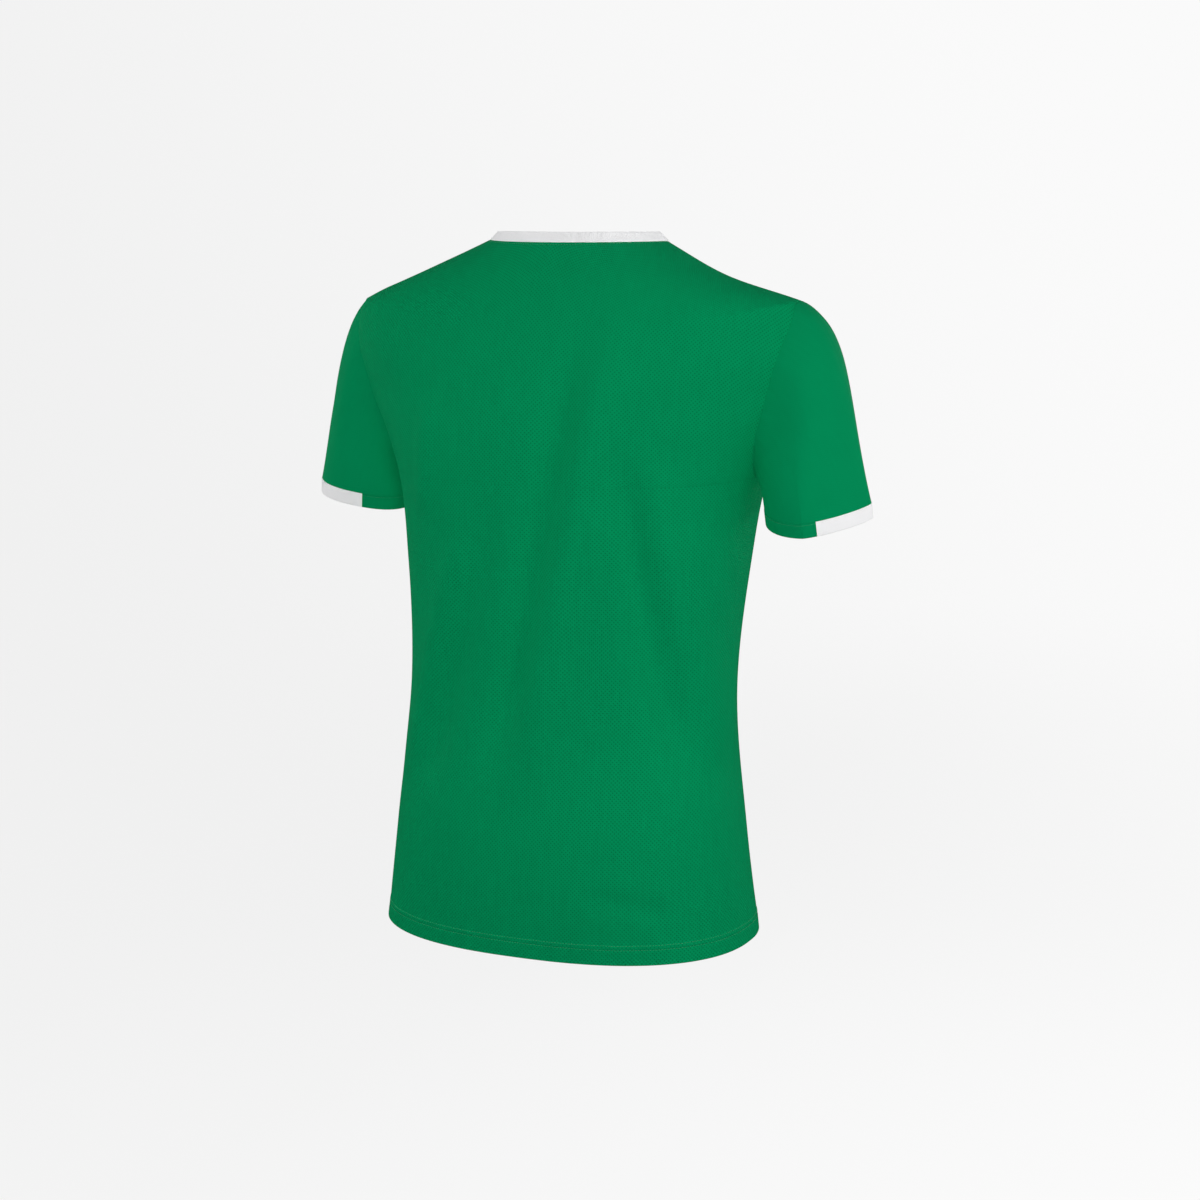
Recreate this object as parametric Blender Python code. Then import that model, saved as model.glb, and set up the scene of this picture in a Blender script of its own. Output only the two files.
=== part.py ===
# A men's M football jersey in the hollow form it takes when worn: crew neck,
# set-in short sleeves, a turned hem, and cuff bands that are part green, part white.
# Metres, +Z up. The jersey faces -Y and its left sleeve lies on +X. The origin is
# the centre of the neck opening at the height of the side neck points.
import math

import bmesh
import bpy
import numpy as np

WALL = 0.0013
SEAM_GAP = 0.0003

HEM_BAND = 0.020
HEM_RELIEF = 0.0006
HEM_STEP = 0.0015
HEM_LEFT_DROP = 0.003
SHOULDER_LEFT_RISE = 0.0015
# The left shoulder stands fuller half way along, and rounds off before its tip. Each is
# a place, how far it reaches, and how much it rises or drops at the very top.
SHOULDER_FULLER = (0.157, 0.042, 0.0042)
SHOULDER_ROUNDER = (0.208, 0.030, 0.0045)
SHOULDER_DEPTH = 0.130

COLLAR_RISE = 0.0095
COLLAR_LEAN = 0.0085
COLLAR_WALL = 0.0022
# Rows up the collar band: how far up each lies, and its share of the full thickness.
COLLAR_ROWS = ((0.0, 1.0), (0.45, 1.0), (0.85, 0.9), (1.0, 0.45))

CUFF_BAND = 0.0150
CUFF_RELIEF = 0.0004
CUFF_HALF_WIDTH = 0.0520
CUFF_HALF_DEPTH = 0.0580
WHITE_BAND_TURN = 170.0

PANEL_COLUMNS = 38
BODY_ROWS = 14
ARMHOLE_ROWS = 16
SHOULDER_ROWS = 5
SLEEVE_RINGS = 11
CUFF_COLUMNS = 16
CURVE_SAMPLES = 480
LEVEL_CURVE = 1.6
ROWS_CLOSER = 1.25
SHARP_EDGE = 50.0

# Each row is an oval line round the body, from the hem up to the neck. "wide" is its
# half width, "mid" the y of its widest place and "side_z" the height there. The next
# four are the middles of its back and front. "square" makes an end fuller than an
# ellipse (2), and "seam" turns the panels' seam forwards from the widest place.
SECTION_COLUMNS = (
    "wide", "mid", "side_z", "back_y", "back_z", "front_y", "front_z",
    "back_square", "front_square", "seam",
)
SECTIONS = {
    "hem":       (0.2010,  0.021, -0.703, 0.152, -0.707, -0.106, -0.700, 2.4, 2.2, 12),
    "hip":       (0.1875,  0.025, -0.595, 0.150, -0.601, -0.106, -0.594, 2.3, 2.2, 12),
    "waist":     (0.1740,  0.020, -0.444, 0.131, -0.444, -0.104, -0.443, 2.3, 2.2, 12),
    "ribs":      (0.1800,  0.007, -0.326, 0.131, -0.326, -0.119, -0.326, 2.3, 2.2, 10),
    "armpit":    (0.1900, -0.002, -0.231, 0.130, -0.236, -0.130, -0.238, 2.4, 2.3,  3),
    "low_scye":  (0.2040,  0.001, -0.190, 0.129, -0.197, -0.128, -0.202, 2.4, 2.3,  0),
    "mid_scye":  (0.2210,  0.003, -0.145, 0.125, -0.157, -0.122, -0.166, 2.4, 2.3,  0),
    "high_scye": (0.2380,  0.004, -0.101, 0.117, -0.119, -0.115, -0.135, 2.4, 2.3,  0),
    "cap":       (0.2425,  0.004, -0.070, 0.108, -0.092, -0.110, -0.115, 2.4, 2.3,  0),
    "tip":       (0.2380,  0.005, -0.0575, 0.103, -0.080, -0.107, -0.106, 2.3, 2.2,  0),
    "shoulder":  (0.1610,  0.010, -0.0325, 0.085, -0.038, -0.099, -0.085, 2.2, 2.1,  1),
    "neck":      (0.0950,  0.000,  0.000, 0.063, -0.002, -0.093, -0.073, 2.1, 2.0,  0),
}
# The columns that turn sharply at the shoulder tip.
SIDE_COLUMNS = ("wide", "side_z")
HEM_WIDE, HEM_HEIGHT = SECTIONS["hem"][0], SECTIONS["hem"][2]

# Half the angle that an armhole takes out of an oval at its widest, and how round the
# armhole's ends are: 1 gives an ellipse, and less a fuller oval.
ARMHOLE_TURN = 13.0
ARMHOLE_ROUND = 0.45

# The middle of each cuff's lower edge, the angles its plane tips outwards and
# forwards, how full the sleeve stands at its top and runs in at its cuff, how level it
# leaves the shoulder, and the angle from the underarm, round by the back, at which
# the white band begins.
SLEEVE_COLUMNS = ("x", "y", "z", "tip_out", "tip_forward", "full", "run_in", "level", "white_from")
SLEEVES = {
    "left":  (0.2545, -0.013, -0.2655, 13.0, 15.0, 0.43, 1.20, 0.900,  70.0),
    "right": (0.2535, -0.010, -0.2700,  4.0, 16.0, 0.75, 1.40, 0.995, 115.0),
}
# How the cloth leaves the armhole: outwards and down below, fanned out to the front and
# the back, and turned on from the panels' seams. Close to the underarm it runs level.
LOWER_OUT, LOWER_DOWN = 0.5, 0.85
SLEEVE_SPREAD = 0.5
SEAM_TURN = 0.45
UNDERARM_REACH = 0.6
UNDERARM_LIFT = 0.5

# Soft folds, pressed into the cloth (depth above 0) or standing out of it (below 0). A
# panel's places are x and z. A sleeve's are the way round from the underarm by the
# back and the way down from the armhole, as lengths. "bow" bends the fold sideways.
FOLD_COLUMNS = ("start_u", "start_v", "end_u", "end_v", "bow", "width", "depth")
FOLDS = {
    "back_panel": (
        (-0.066, -0.100,  0.024, -0.520,  0.010, 0.024,  0.0070),
        ( 0.040, -0.265,  0.128, -0.540, -0.006, 0.022,  0.0065),
        (-0.108, -0.195, -0.170, -0.540, -0.012, 0.020,  0.0060),
        (-0.140, -0.180, -0.158, -0.300,  0.000, 0.026,  0.0055),
        ( 0.130, -0.150,  0.165, -0.330,  0.006, 0.014,  0.0045),
        (-0.100, -0.145, -0.150, -0.140,  0.000, 0.036, -0.0040),
        (-0.075, -0.640, -0.150, -0.655,  0.004, 0.012,  0.0020),
    ),
    "front_panel": (
        ( 0.150, -0.200,  0.075, -0.400,  0.012, 0.022,  0.0060),
        (-0.148, -0.190, -0.085, -0.380, -0.010, 0.024,  0.0060),
        ( 0.020, -0.320,  0.050, -0.600, -0.008, 0.024,  0.0050),
        (-0.040, -0.350, -0.070, -0.640,  0.008, 0.022,  0.0050),
        ( 0.130, -0.380,  0.120, -0.640,  0.006, 0.020,  0.0045),
    ),
    "sleeve_left": (
        ( 0.060,  0.020,  0.120,  0.110,  0.004, 0.014,  0.0035),
        ( 0.110,  0.115,  0.175,  0.125,  0.002, 0.012,  0.0020),
        ( 0.280,  0.030,  0.240,  0.120,  0.003, 0.014,  0.0030),
    ),
    "sleeve_right": (
        ( 0.075,  0.020,  0.095,  0.120,  0.004, 0.013,  0.0030),
        ( 0.285,  0.025,  0.255,  0.125,  0.003, 0.014,  0.0030),
        ( 0.130,  0.060,  0.150,  0.150,  0.002, 0.014,  0.0020),
    ),
}
# A fold deepens over this share of its length at each end, or over this many of its
# widths if it is short. It starts the lead's share of that before its end, and dies
# away within the margin of a seam.
FOLD_FADE = 0.30
FOLD_TAPER = 1.5
FOLD_LEAD = 0.30
SEAM_MARGIN = 0.030

GREEN = (0.0015, 0.198, 0.071, 1.0)
WHITE = (0.780, 0.780, 0.775, 1.0)
EYELET_ROUGH, PLAIN_ROUGH, RIB_ROUGH = 0.75, 0.70, 0.80

UP = np.array([0.0, 0.0, 1.0])
BACKWARDS = np.array([0.0, 1.0, 0.0])
LEVEL = np.array([1.0, 1.0, 0.0])


def column(name):
    return SECTION_COLUMNS.index(name)


def smooth_step(share):
    share = np.clip(share, 0.0, 1.0)
    return share * share * (3.0 - 2.0 * share)


def unit(vectors):
    return vectors / np.linalg.norm(vectors, axis=-1, keepdims=True)


def curve_through(at, places, values):
    # A smooth curve through rows of values, with no overshoot of its end slopes.
    steps = np.diff(places)
    slopes = np.diff(values, axis=0) / steps[:, None]
    tangents = np.vstack([slopes[:1], np.zeros((len(places) - 2, values.shape[1])), slopes[-1:]])
    share = (steps[1:] / (steps[:-1] + steps[1:]))[:, None]
    tangents[1:-1] = slopes[:-1] * share + slopes[1:] * (1.0 - share)
    span = np.clip(np.searchsorted(places, at, side="right") - 1, 0, len(places) - 2)
    part = ((at - places[span]) / steps[span])[:, None]
    width = steps[span][:, None]
    return (
        (2 * part**3 - 3 * part**2 + 1) * values[span]
        + (part**3 - 2 * part**2 + part) * width * tangents[span]
        + (3 * part**2 - 2 * part**3) * values[span + 1]
        + (part**3 - part**2) * width * tangents[span + 1]
    )


def body_rows():
    # The section values and armhole turn of every row of points, and the row numbers of
    # the armpit and the shoulder tip.
    names = list(SECTIONS)
    table = np.array([SECTIONS[name] for name in names])
    side_line = table[:, [column("wide"), column("side_z")]]
    places = np.concatenate([[0.0], np.cumsum(np.linalg.norm(np.diff(side_line, axis=0), axis=1))])
    armpit, tip = names.index("armpit"), names.index("tip")
    start = HEM_BAND + HEM_STEP
    rise = 1.0 - (1.0 - np.linspace(0.0, 1.0, BODY_ROWS)) ** ROWS_CLOSER
    body = np.concatenate([[0.0, HEM_BAND], start + (places[armpit] - start) * rise])
    turn = np.linspace(0.0, math.pi, ARMHOLE_ROWS + 1)[1:]
    beside = places[armpit] + (places[tip] - places[armpit]) * (0.5 - 0.5 * np.cos(turn))
    shoulder = np.linspace(places[tip], places[-1], SHOULDER_ROWS + 1)[1:]
    at = np.concatenate([body, beside, shoulder])
    rows = curve_through(at, places, table)
    tip_row = len(body) + ARMHOLE_ROWS - 1
    below = curve_through(at, places[: tip + 1], table[: tip + 1])
    above = curve_through(at, places[tip:], table[tip:])
    for name in SIDE_COLUMNS:
        rows[: tip_row + 1, column(name)] = below[: tip_row + 1, column(name)]
        rows[tip_row:, column(name)] = above[tip_row:, column(name)]
    opening = np.zeros(len(at))
    opening[len(body) : tip_row] = ARMHOLE_TURN * np.sin(turn[:-1]) ** ARMHOLE_ROUND
    return rows, opening, len(body) - 1, tip_row


def shoulder_rise(x):
    middle, width, rise = SHOULDER_FULLER
    start, reach, drop = SHOULDER_ROUNDER
    return rise * np.exp(-(((x - middle) / width) ** 2)) - drop * smooth_step((x - start) / reach)


def row_curve(row, opening, side, other):
    # One row of points across a panel, from the wearer's right to the left.
    value = dict(zip(SECTION_COLUMNS, row))
    forward = value["seam"] if side == "back" else -value["seam"]
    cut = math.radians(90.0 + forward - opening)
    angle = np.linspace(-cut, cut, CURVE_SAMPLES + 1)
    beyond = np.cos(angle) < 0.0
    power = 2.0 / np.where(beyond, value[other + "_square"], value[side + "_square"])
    end_y = np.where(beyond, value[other + "_y"], value[side + "_y"])
    end_z = np.where(beyond, value[other + "_z"], value[side + "_z"])
    across = np.abs(np.cos(angle)) ** power
    x = value["wide"] * np.sign(angle) * np.abs(np.sin(angle)) ** power
    y = value["mid"] + (end_y - value["mid"]) * across
    z = value["side_z"] + (end_z - value["side_z"]) * across**LEVEL_CURVE
    low, high = smooth_step(z / HEM_HEIGHT * 2.0 - 1.0), smooth_step(1.0 - z / HEM_HEIGHT * 2.0)
    z = z + (SHOULDER_LEFT_RISE * high - HEM_LEFT_DROP * low) * x / HEM_WIDE
    z = z + shoulder_rise(x) * smooth_step(1.0 + z / SHOULDER_DEPTH)
    points = np.stack([x, y, z], axis=1)
    run = np.concatenate([[0.0], np.cumsum(np.linalg.norm(np.diff(points, axis=0), axis=1))])
    at = np.linspace(SEAM_GAP / 2, run[-1] - SEAM_GAP / 2, PANEL_COLUMNS + 1)
    return np.stack([np.interp(at, run, points[:, axis]) for axis in range(3)], axis=1)


def surface_normals(grid, closed):
    # Normals of a grid of points, turned away from the hollow inside it.
    if closed:
        across = np.roll(grid, -1, axis=1) - np.roll(grid, 1, axis=1)
        middle = grid.mean(axis=(0, 1))
    else:
        across = np.gradient(grid, axis=1)
        middle = np.zeros(3)
    normals = unit(np.cross(np.gradient(grid, axis=0), across))
    outward = (grid - middle) * LEVEL
    return normals if (normals * outward).sum() > 0.0 else -normals


def fold_offset(name, u, v):
    # How far each place of a piece is pressed in along its normal.
    offset = np.zeros_like(u)
    for fold in FOLDS.get(name, ()):
        value = dict(zip(FOLD_COLUMNS, fold))
        run_u = value["end_u"] - value["start_u"]
        run_v = value["end_v"] - value["start_v"]
        length = math.hypot(run_u, run_v)
        from_u, from_v = u - value["start_u"], v - value["start_v"]
        along = (from_u * run_u + from_v * run_v) / length**2
        aside = (from_u * run_v - from_v * run_u) / length
        held = np.clip(along, 0.0, 1.0)
        aside = aside - value["bow"] * 4.0 * held * (1.0 - held)
        taper = max(FOLD_FADE, FOLD_TAPER * value["width"] / length)
        fade = smooth_step(np.minimum(along, 1.0 - along) / taper + FOLD_LEAD)
        offset += value["depth"] * fade * np.exp(-((aside / value["width"]) ** 2))
    return offset


def distance_from_ends(grid, axis):
    run = np.cumsum(np.linalg.norm(np.diff(grid, axis=axis), axis=2), axis=axis)
    pad = [(1, 0) if axis == 0 else (0, 0), (1, 0) if axis == 1 else (0, 0)]
    run = np.pad(run, pad)
    whole = run[-1:, :] if axis == 0 else run[:, -1:]
    return run, whole - run


def panel(name, side, other, rows, openings):
    # The points and normals of a body panel, with its folds pressed in.
    grid = np.array([row_curve(row, turn, side, other) for row, turn in zip(rows, openings)])
    normals = surface_normals(grid, closed=False)
    from_right, from_left = distance_from_ends(grid, axis=1)
    from_neck = distance_from_ends(grid, axis=0)[1]
    margin = smooth_step(np.minimum(np.minimum(from_right, from_left), from_neck) / SEAM_MARGIN)
    grid = grid - normals * (fold_offset(name, grid[..., 0], grid[..., 2]) * margin)[..., None]
    return grid, surface_normals(grid, closed=False)


def share_seam_normals(back, front, armpit, tip):
    # Both panels face the same way along the side seams and the shoulder seams.
    for edge in (0, -1):
        for rows in (slice(0, armpit + 1), slice(tip, None)):
            shared = unit(back[1][rows, edge] + front[1][rows, edge])
            back[1][rows, edge] = shared
            front[1][rows, edge] = shared


def panel_wall(grid, normals):
    # The outer and inner points of a panel, with the turned hem standing out of it.
    below = distance_from_ends(grid, axis=0)[0]
    band = (below < HEM_BAND + HEM_STEP / 2)[..., None]
    return grid + normals * HEM_RELIEF * band, grid - normals * WALL


def armhole_ring(back, front, armpit, tip, edge):
    # Where a sleeve begins: its points, the panels' normals there, and the way on.
    rows = slice(armpit, tip + 1)
    both = [(grid[rows, edge], normals[rows, edge]) for grid, normals in (back, front)]
    ring = []
    for of_back, of_front in zip(*both):
        bottom = (of_back[:1] + of_front[:1]) / 2
        top = (of_back[-1:] + of_front[-1:]) / 2
        ring.append(np.vstack([bottom, of_back[1:-1], top, of_front[-2:0:-1]]))
    points, normals = ring
    along = unit(np.roll(points, -1, axis=0) - np.roll(points, 1, axis=0))
    onwards = unit(np.cross(normals, along))
    into = ((points.mean(axis=0) - points) * onwards).sum()
    onwards = onwards * np.sign(into)
    return points + onwards * SEAM_GAP, normals, onwards


def turned(axis, degrees):
    angle = math.radians(degrees)
    cosine, sine = math.cos(angle), math.sin(angle)
    first, second = (axis + 1) % 3, (axis + 2) % 3
    matrix = np.eye(3)
    matrix[first, first] = matrix[second, second] = cosine
    matrix[first, second], matrix[second, first] = -sine, sine
    return matrix


def cuff_plane(side, hand):
    # The middle of a cuff's lower edge, and its outward, backward and upward axes.
    value = dict(zip(SLEEVE_COLUMNS, SLEEVES[side]))
    axes = turned(1, -value["tip_out"]) @ turned(0, -value["tip_forward"])
    mirror = np.array([hand, 1.0, 1.0])
    middle = np.array([value["x"], value["y"], value["z"]]) * mirror
    return middle, [axes[:, each] * mirror for each in range(3)]


def cuff_ring(side, hand, angles, height, out=0.0):
    # Points round a cuff, at a height over its lower edge and moved out of it.
    middle, (outward, backward, upward) = cuff_plane(side, hand)
    across = -np.cos(angles)[:, None] * outward * (CUFF_HALF_WIDTH + out)
    behind = np.sin(angles)[:, None] * backward * (CUFF_HALF_DEPTH + out)
    return middle + across + behind + upward * height


def leaving(value, hand, angles, onwards):
    # The way the cloth leaves the armhole, at each angle round it from the underarm.
    outward = np.array([hand, 0.0, 0.0])
    top = (0.5 - 0.5 * np.cos(angles))[:, None]
    lower = outward * LOWER_OUT - UP * LOWER_DOWN
    upper = outward * value["level"] - UP * math.sqrt(1.0 - value["level"] ** 2)
    spread = np.sin(angles)[:, None] * BACKWARDS * SLEEVE_SPREAD
    way = unit(lower * (1.0 - top) + upper * top + spread) + onwards * SEAM_TURN
    from_underarm = np.minimum(angles, 2.0 * math.pi - angles)
    near = np.exp(-((from_underarm / UNDERARM_REACH) ** 2))[:, None]
    return unit(way * (1.0 - near) + unit(outward + onwards * UNDERARM_LIFT) * near)


def sleeve(side, hand, back, front, armpit, tip):
    # The outer and inner points of a sleeve, from the armhole to the top of its cuff.
    value = dict(zip(SLEEVE_COLUMNS, SLEEVES[side]))
    edge = -1 if hand > 0 else 0
    start, start_normals, onwards = armhole_ring(back, front, armpit, tip, edge)
    angles = np.arange(len(start)) * 2.0 * math.pi / len(start)
    finish = cuff_ring(side, hand, angles, CUFF_BAND + SEAM_GAP)
    upward = cuff_plane(side, hand)[1][2]
    length = np.linalg.norm(finish - start, axis=1, keepdims=True)
    first_way = leaving(value, hand, angles, onwards) * length * value["full"]
    last_way = -upward * length * value["run_in"]
    down = np.linspace(0.0, 1.0, SLEEVE_RINGS + 1)[:, None, None]
    grid = (
        (2 * down**3 - 3 * down**2 + 1) * start
        + (down**3 - 2 * down**2 + down) * first_way
        + (3 * down**2 - 2 * down**3) * finish
        + (down**3 - down**2) * last_way
    )
    normals = surface_normals(grid, closed=True)
    steps = np.linalg.norm(np.roll(grid, -1, axis=1) - grid, axis=2)
    around = np.cumsum(steps, axis=1) - steps
    from_armhole, from_cuff = distance_from_ends(grid, axis=0)
    margin = smooth_step(np.minimum(from_armhole, from_cuff) / SEAM_MARGIN)
    pressed = fold_offset("sleeve_" + side, around, from_armhole) * margin
    grid = grid - normals * pressed[..., None]
    normals = surface_normals(grid, closed=True)
    normals[0] = start_normals
    normals[-1] = unit(normals[-1] - (normals[-1] @ upward)[:, None] * upward)
    return grid, grid - normals * WALL


def cuff_band(side, hand, first, last):
    # The outer and inner points of a stretch of cuff band, between two angles.
    half_gap = SEAM_GAP / 2 / CUFF_HALF_WIDTH
    start, end = math.radians(first) + half_gap, math.radians(last) - half_gap
    angles = np.linspace(start, end, CUFF_COLUMNS + 1)
    heights = (0.0, CUFF_BAND / 2, CUFF_BAND)
    outer = [cuff_ring(side, hand, angles, height, CUFF_RELIEF) for height in heights]
    inner = [cuff_ring(side, hand, angles, height, -WALL) for height in heights]
    return np.array(outer), np.array(inner)


def collar(back, front):
    # A band that goes on from the neckline's own points and leans in as it rises.
    neck = np.vstack([back[0][-1], front[0][-1][::-1]])
    normals = np.vstack([back[1][-1], front[1][-1][::-1]])
    below = np.vstack([back[0][-2], front[0][-2][::-1]])
    base = neck + unit(neck - below) * SEAM_GAP - normals * WALL / 2
    away = unit(neck * LEVEL)
    rise = UP * COLLAR_RISE - away * COLLAR_LEAN
    along = unit(np.roll(neck, -1, axis=0) - np.roll(neck, 1, axis=0))
    face = unit(np.cross(rise, along))
    face = face * np.sign((face * away).sum(axis=1))[:, None]
    rows_out, rows_in = [], []
    for share, thickness in COLLAR_ROWS:
        normal = unit(normals * (1.0 - share) + face * share)
        middle = base + rise * share + (normals - normal) * WALL / 2
        half = COLLAR_WALL / 2 * thickness
        rows_out.append(middle + normal * half)
        rows_in.append(middle - normal * half)
    return np.array(rows_out), np.array(rows_in)


def wall_body(name, outer, inner, closed, material):
    # A closed body between two grids of points.
    rows, columns = outer.shape[:2]
    mesh = bmesh.new()
    far, near = [[[mesh.verts.new(at) for at in row] for row in grid] for grid in (outer, inner)]
    beside = [(at, (at + 1) % columns) for at in range(columns if closed else columns - 1)]
    for sheet in (far, near):
        for low, high in zip(sheet, sheet[1:]):
            for left, right in beside:
                mesh.faces.new((low[left], low[right], high[right], high[left]))
    for row in (0, rows - 1):
        for left, right in beside:
            mesh.faces.new((far[row][left], far[row][right], near[row][right], near[row][left]))
    for at in () if closed else (0, columns - 1):
        for row in range(rows - 1):
            mesh.faces.new((far[row][at], far[row + 1][at], near[row + 1][at], near[row][at]))
    bmesh.ops.recalc_face_normals(mesh, faces=mesh.faces)
    bmesh.ops.triangulate(mesh, faces=mesh.faces)
    data = bpy.data.meshes.new(name)
    mesh.to_mesh(data)
    mesh.free()
    data.shade_smooth()
    data.set_sharp_from_angle(angle=math.radians(SHARP_EDGE))
    data.materials.append(material)
    body = bpy.data.objects.new(name, data)
    bpy.context.scene.collection.objects.link(body)


def knit(name, colour, roughness):
    material = bpy.data.materials.new(name)
    material.use_nodes = True
    shader = material.node_tree.nodes["Principled BSDF"]
    shader.inputs["Base Color"].default_value = colour
    shader.inputs["Roughness"].default_value = roughness
    shader.inputs["Metallic"].default_value = 0.0
    return material


def main():
    for thing in list(bpy.data.objects):
        bpy.data.objects.remove(thing, do_unlink=True)
    eyelet = knit("green eyelet knit", GREEN, EYELET_ROUGH)
    plain = knit("green plain knit", GREEN, PLAIN_ROUGH)
    rib = knit("white rib knit", WHITE, RIB_ROUGH)

    rows, openings, armpit, tip = body_rows()
    back = panel("back_panel", "back", "front", rows, openings)
    front = panel("front_panel", "front", "back", rows, openings)
    share_seam_normals(back, front, armpit, tip)
    wall_body("back_panel", *panel_wall(*back), False, eyelet)
    wall_body("front_panel", *panel_wall(*front), False, eyelet)
    wall_body("collar", *collar(back, front), True, rib)

    for side, hand in (("left", 1.0), ("right", -1.0)):
        wall_body("sleeve_" + side, *sleeve(side, hand, back, front, armpit, tip), True, plain)
        white_from = SLEEVES[side][SLEEVE_COLUMNS.index("white_from")]
        white_to = white_from + WHITE_BAND_TURN
        white = cuff_band(side, hand, white_from, white_to)
        green = cuff_band(side, hand, white_to, white_from + 360.0)
        wall_body("cuff_white_" + side, *white, False, rib)
        wall_body("cuff_green_" + side, *green, False, plain)


main()
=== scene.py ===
import math

import bmesh
import bpy
import numpy as np
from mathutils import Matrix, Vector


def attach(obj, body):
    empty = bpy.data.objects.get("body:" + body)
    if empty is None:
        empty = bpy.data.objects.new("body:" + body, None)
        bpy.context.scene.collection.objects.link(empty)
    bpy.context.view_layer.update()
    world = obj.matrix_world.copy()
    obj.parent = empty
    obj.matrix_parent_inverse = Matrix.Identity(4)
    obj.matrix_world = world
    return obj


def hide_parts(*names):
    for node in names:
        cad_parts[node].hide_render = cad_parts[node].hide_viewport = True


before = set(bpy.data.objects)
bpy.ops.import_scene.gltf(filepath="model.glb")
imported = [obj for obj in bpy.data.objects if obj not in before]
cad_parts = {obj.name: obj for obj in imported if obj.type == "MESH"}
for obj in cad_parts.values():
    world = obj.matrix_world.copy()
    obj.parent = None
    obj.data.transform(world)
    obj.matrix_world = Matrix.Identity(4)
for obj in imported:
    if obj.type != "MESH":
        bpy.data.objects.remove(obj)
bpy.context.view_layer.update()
print("frame loaded:", len(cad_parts), "solids")

upward = np.array([0.0, 0.0, 1.0])
backward = np.array([0.0, 1.0, 0.0])
level = np.array([1.0, 1.0, 0.0])


def smoothStep(share):
    share = np.clip(share, 0.0, 1.0)
    return share * share * (3.0 - 2.0 * share)


def unit(vectors):
    return vectors / np.linalg.norm(vectors, axis=-1, keepdims=True)


def spaced(start, end, step):
    return np.linspace(start, end, max(2, round(abs(end - start) / step) + 1))


def bump(distance, width):
    return np.exp(-((distance / width) ** 2))


def runAlong(points):
    # How far along its line each point lies.
    return np.concatenate([[0.0], np.cumsum(np.linalg.norm(np.diff(points, axis=0), axis=1))])


def pointsAt(at, run, points):
    # The places at distances along a line of points.
    return np.stack([np.interp(at, run, points[:, axis]) for axis in range(3)], axis=-1)


def cubic(part, start, startWay, end, endWay):
    # A curve that leaves its start and reaches its end in given directions.
    return (
        (2 * part**3 - 3 * part**2 + 1) * start
        + (part**3 - 2 * part**2 + part) * startWay
        + (3 * part**2 - 2 * part**3) * end
        + (part**3 - part**2) * endWay
    )


waveParts = ((1.0, 1.0, 1.0), (0.7, 0.61, 2.3), (0.5, 1.47, 4.1))    # height, quickness, shift


def unevenWave(run, period, shift):
    # Small waves that never repeat evenly, for cloth that a seam has drawn up a little.
    turn = 2.0 * math.pi * run / period
    waves = sum(height * np.sin(quick * turn + late * shift) for height, quick, late in waveParts)
    return waves / sum(part[0] for part in waveParts)


def beside(distance, reach):
    # Rises from a seam, is full at reach from it, and dies away further on.
    return distance / reach * np.exp(1.0 - distance / reach)


# Each row is an oval line round the body. "wide" is its half width, "mid" the y of its widest
# place and "sideZ" the height there, then come the middles of its back and front. "Square" makes
# an end fuller than an ellipse (2), "seam" turns the side seam forwards, and "hole" is half the
# angle that an armhole takes out of the row.
sectionColumns = (
    "wide", "mid", "sideZ", "backY", "backZ", "frontY", "frontZ",
    "backSquare", "frontSquare", "seam", "hole",
)
bodySections = {
    "hem":      (0.2010,  0.021, -0.703, 0.152, -0.707, -0.106, -0.700, 2.4, 2.2, 12,  0.0),
    "hip":      (0.1875,  0.025, -0.595, 0.150, -0.601, -0.106, -0.594, 2.3, 2.2, 12,  0.0),
    "waist":    (0.1740,  0.020, -0.444, 0.131, -0.444, -0.104, -0.443, 2.3, 2.2, 12,  0.0),
    "ribs":     (0.1810,  0.007, -0.326, 0.131, -0.326, -0.119, -0.326, 2.3, 2.3, 10,  0.0),
    "armpit":   (0.1940, -0.002, -0.231, 0.130, -0.236, -0.130, -0.238, 2.4, 2.5,  3, 12.0),
    "lowScye":  (0.2115,  0.001, -0.190, 0.129, -0.197, -0.128, -0.202, 2.2, 2.3,  0, 16.6),
    "midScye":  (0.2385,  0.003, -0.145, 0.125, -0.157, -0.122, -0.166, 1.9, 2.1,  0, 22.8),
    "highScye": (0.2540,  0.004, -0.101, 0.117, -0.119, -0.115, -0.135, 1.9, 2.1,  0, 25.2),
    "cap":      (0.2485,  0.004, -0.070, 0.108, -0.092, -0.110, -0.115, 1.95, 2.1,  0, 20.5),
    "tip":      (0.2385,  0.005, -0.0575, 0.103, -0.080, -0.107, -0.106, 2.1, 2.2,  0, 16.0),
    "shoulder": (0.1610,  0.010, -0.0325, 0.085, -0.038, -0.099, -0.085, 2.2, 2.1,  1,  0.0),
    "neck":     (0.0950,  0.000,  0.000, 0.063, -0.002, -0.093, -0.073, 2.1, 2.0,  0,  0.0),
}
bodyForm = {
    "levelCurve": 1.6,           # how late a row rises or falls towards its middle
    "armholeRound": 0.45,        # 1 is an ellipse, less is a fuller oval
    "hemLeftDrop": 0.003,
    "shoulderLeftRise": 0.0015,
    # Where each shoulder is fuller, and where the left one rounds off before its tip. Each is a
    # place, how far it reaches, and how much it rises or drops at the very top.
    "shoulderFuller": ((0.162, 0.050, 0.0042), (-0.222, 0.055, 0.0018)),
    "shoulderRounder": (0.205, 0.060, 0.0075),
    "shoulderDepth": 0.130,
    "samples": 1500,
}


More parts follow.
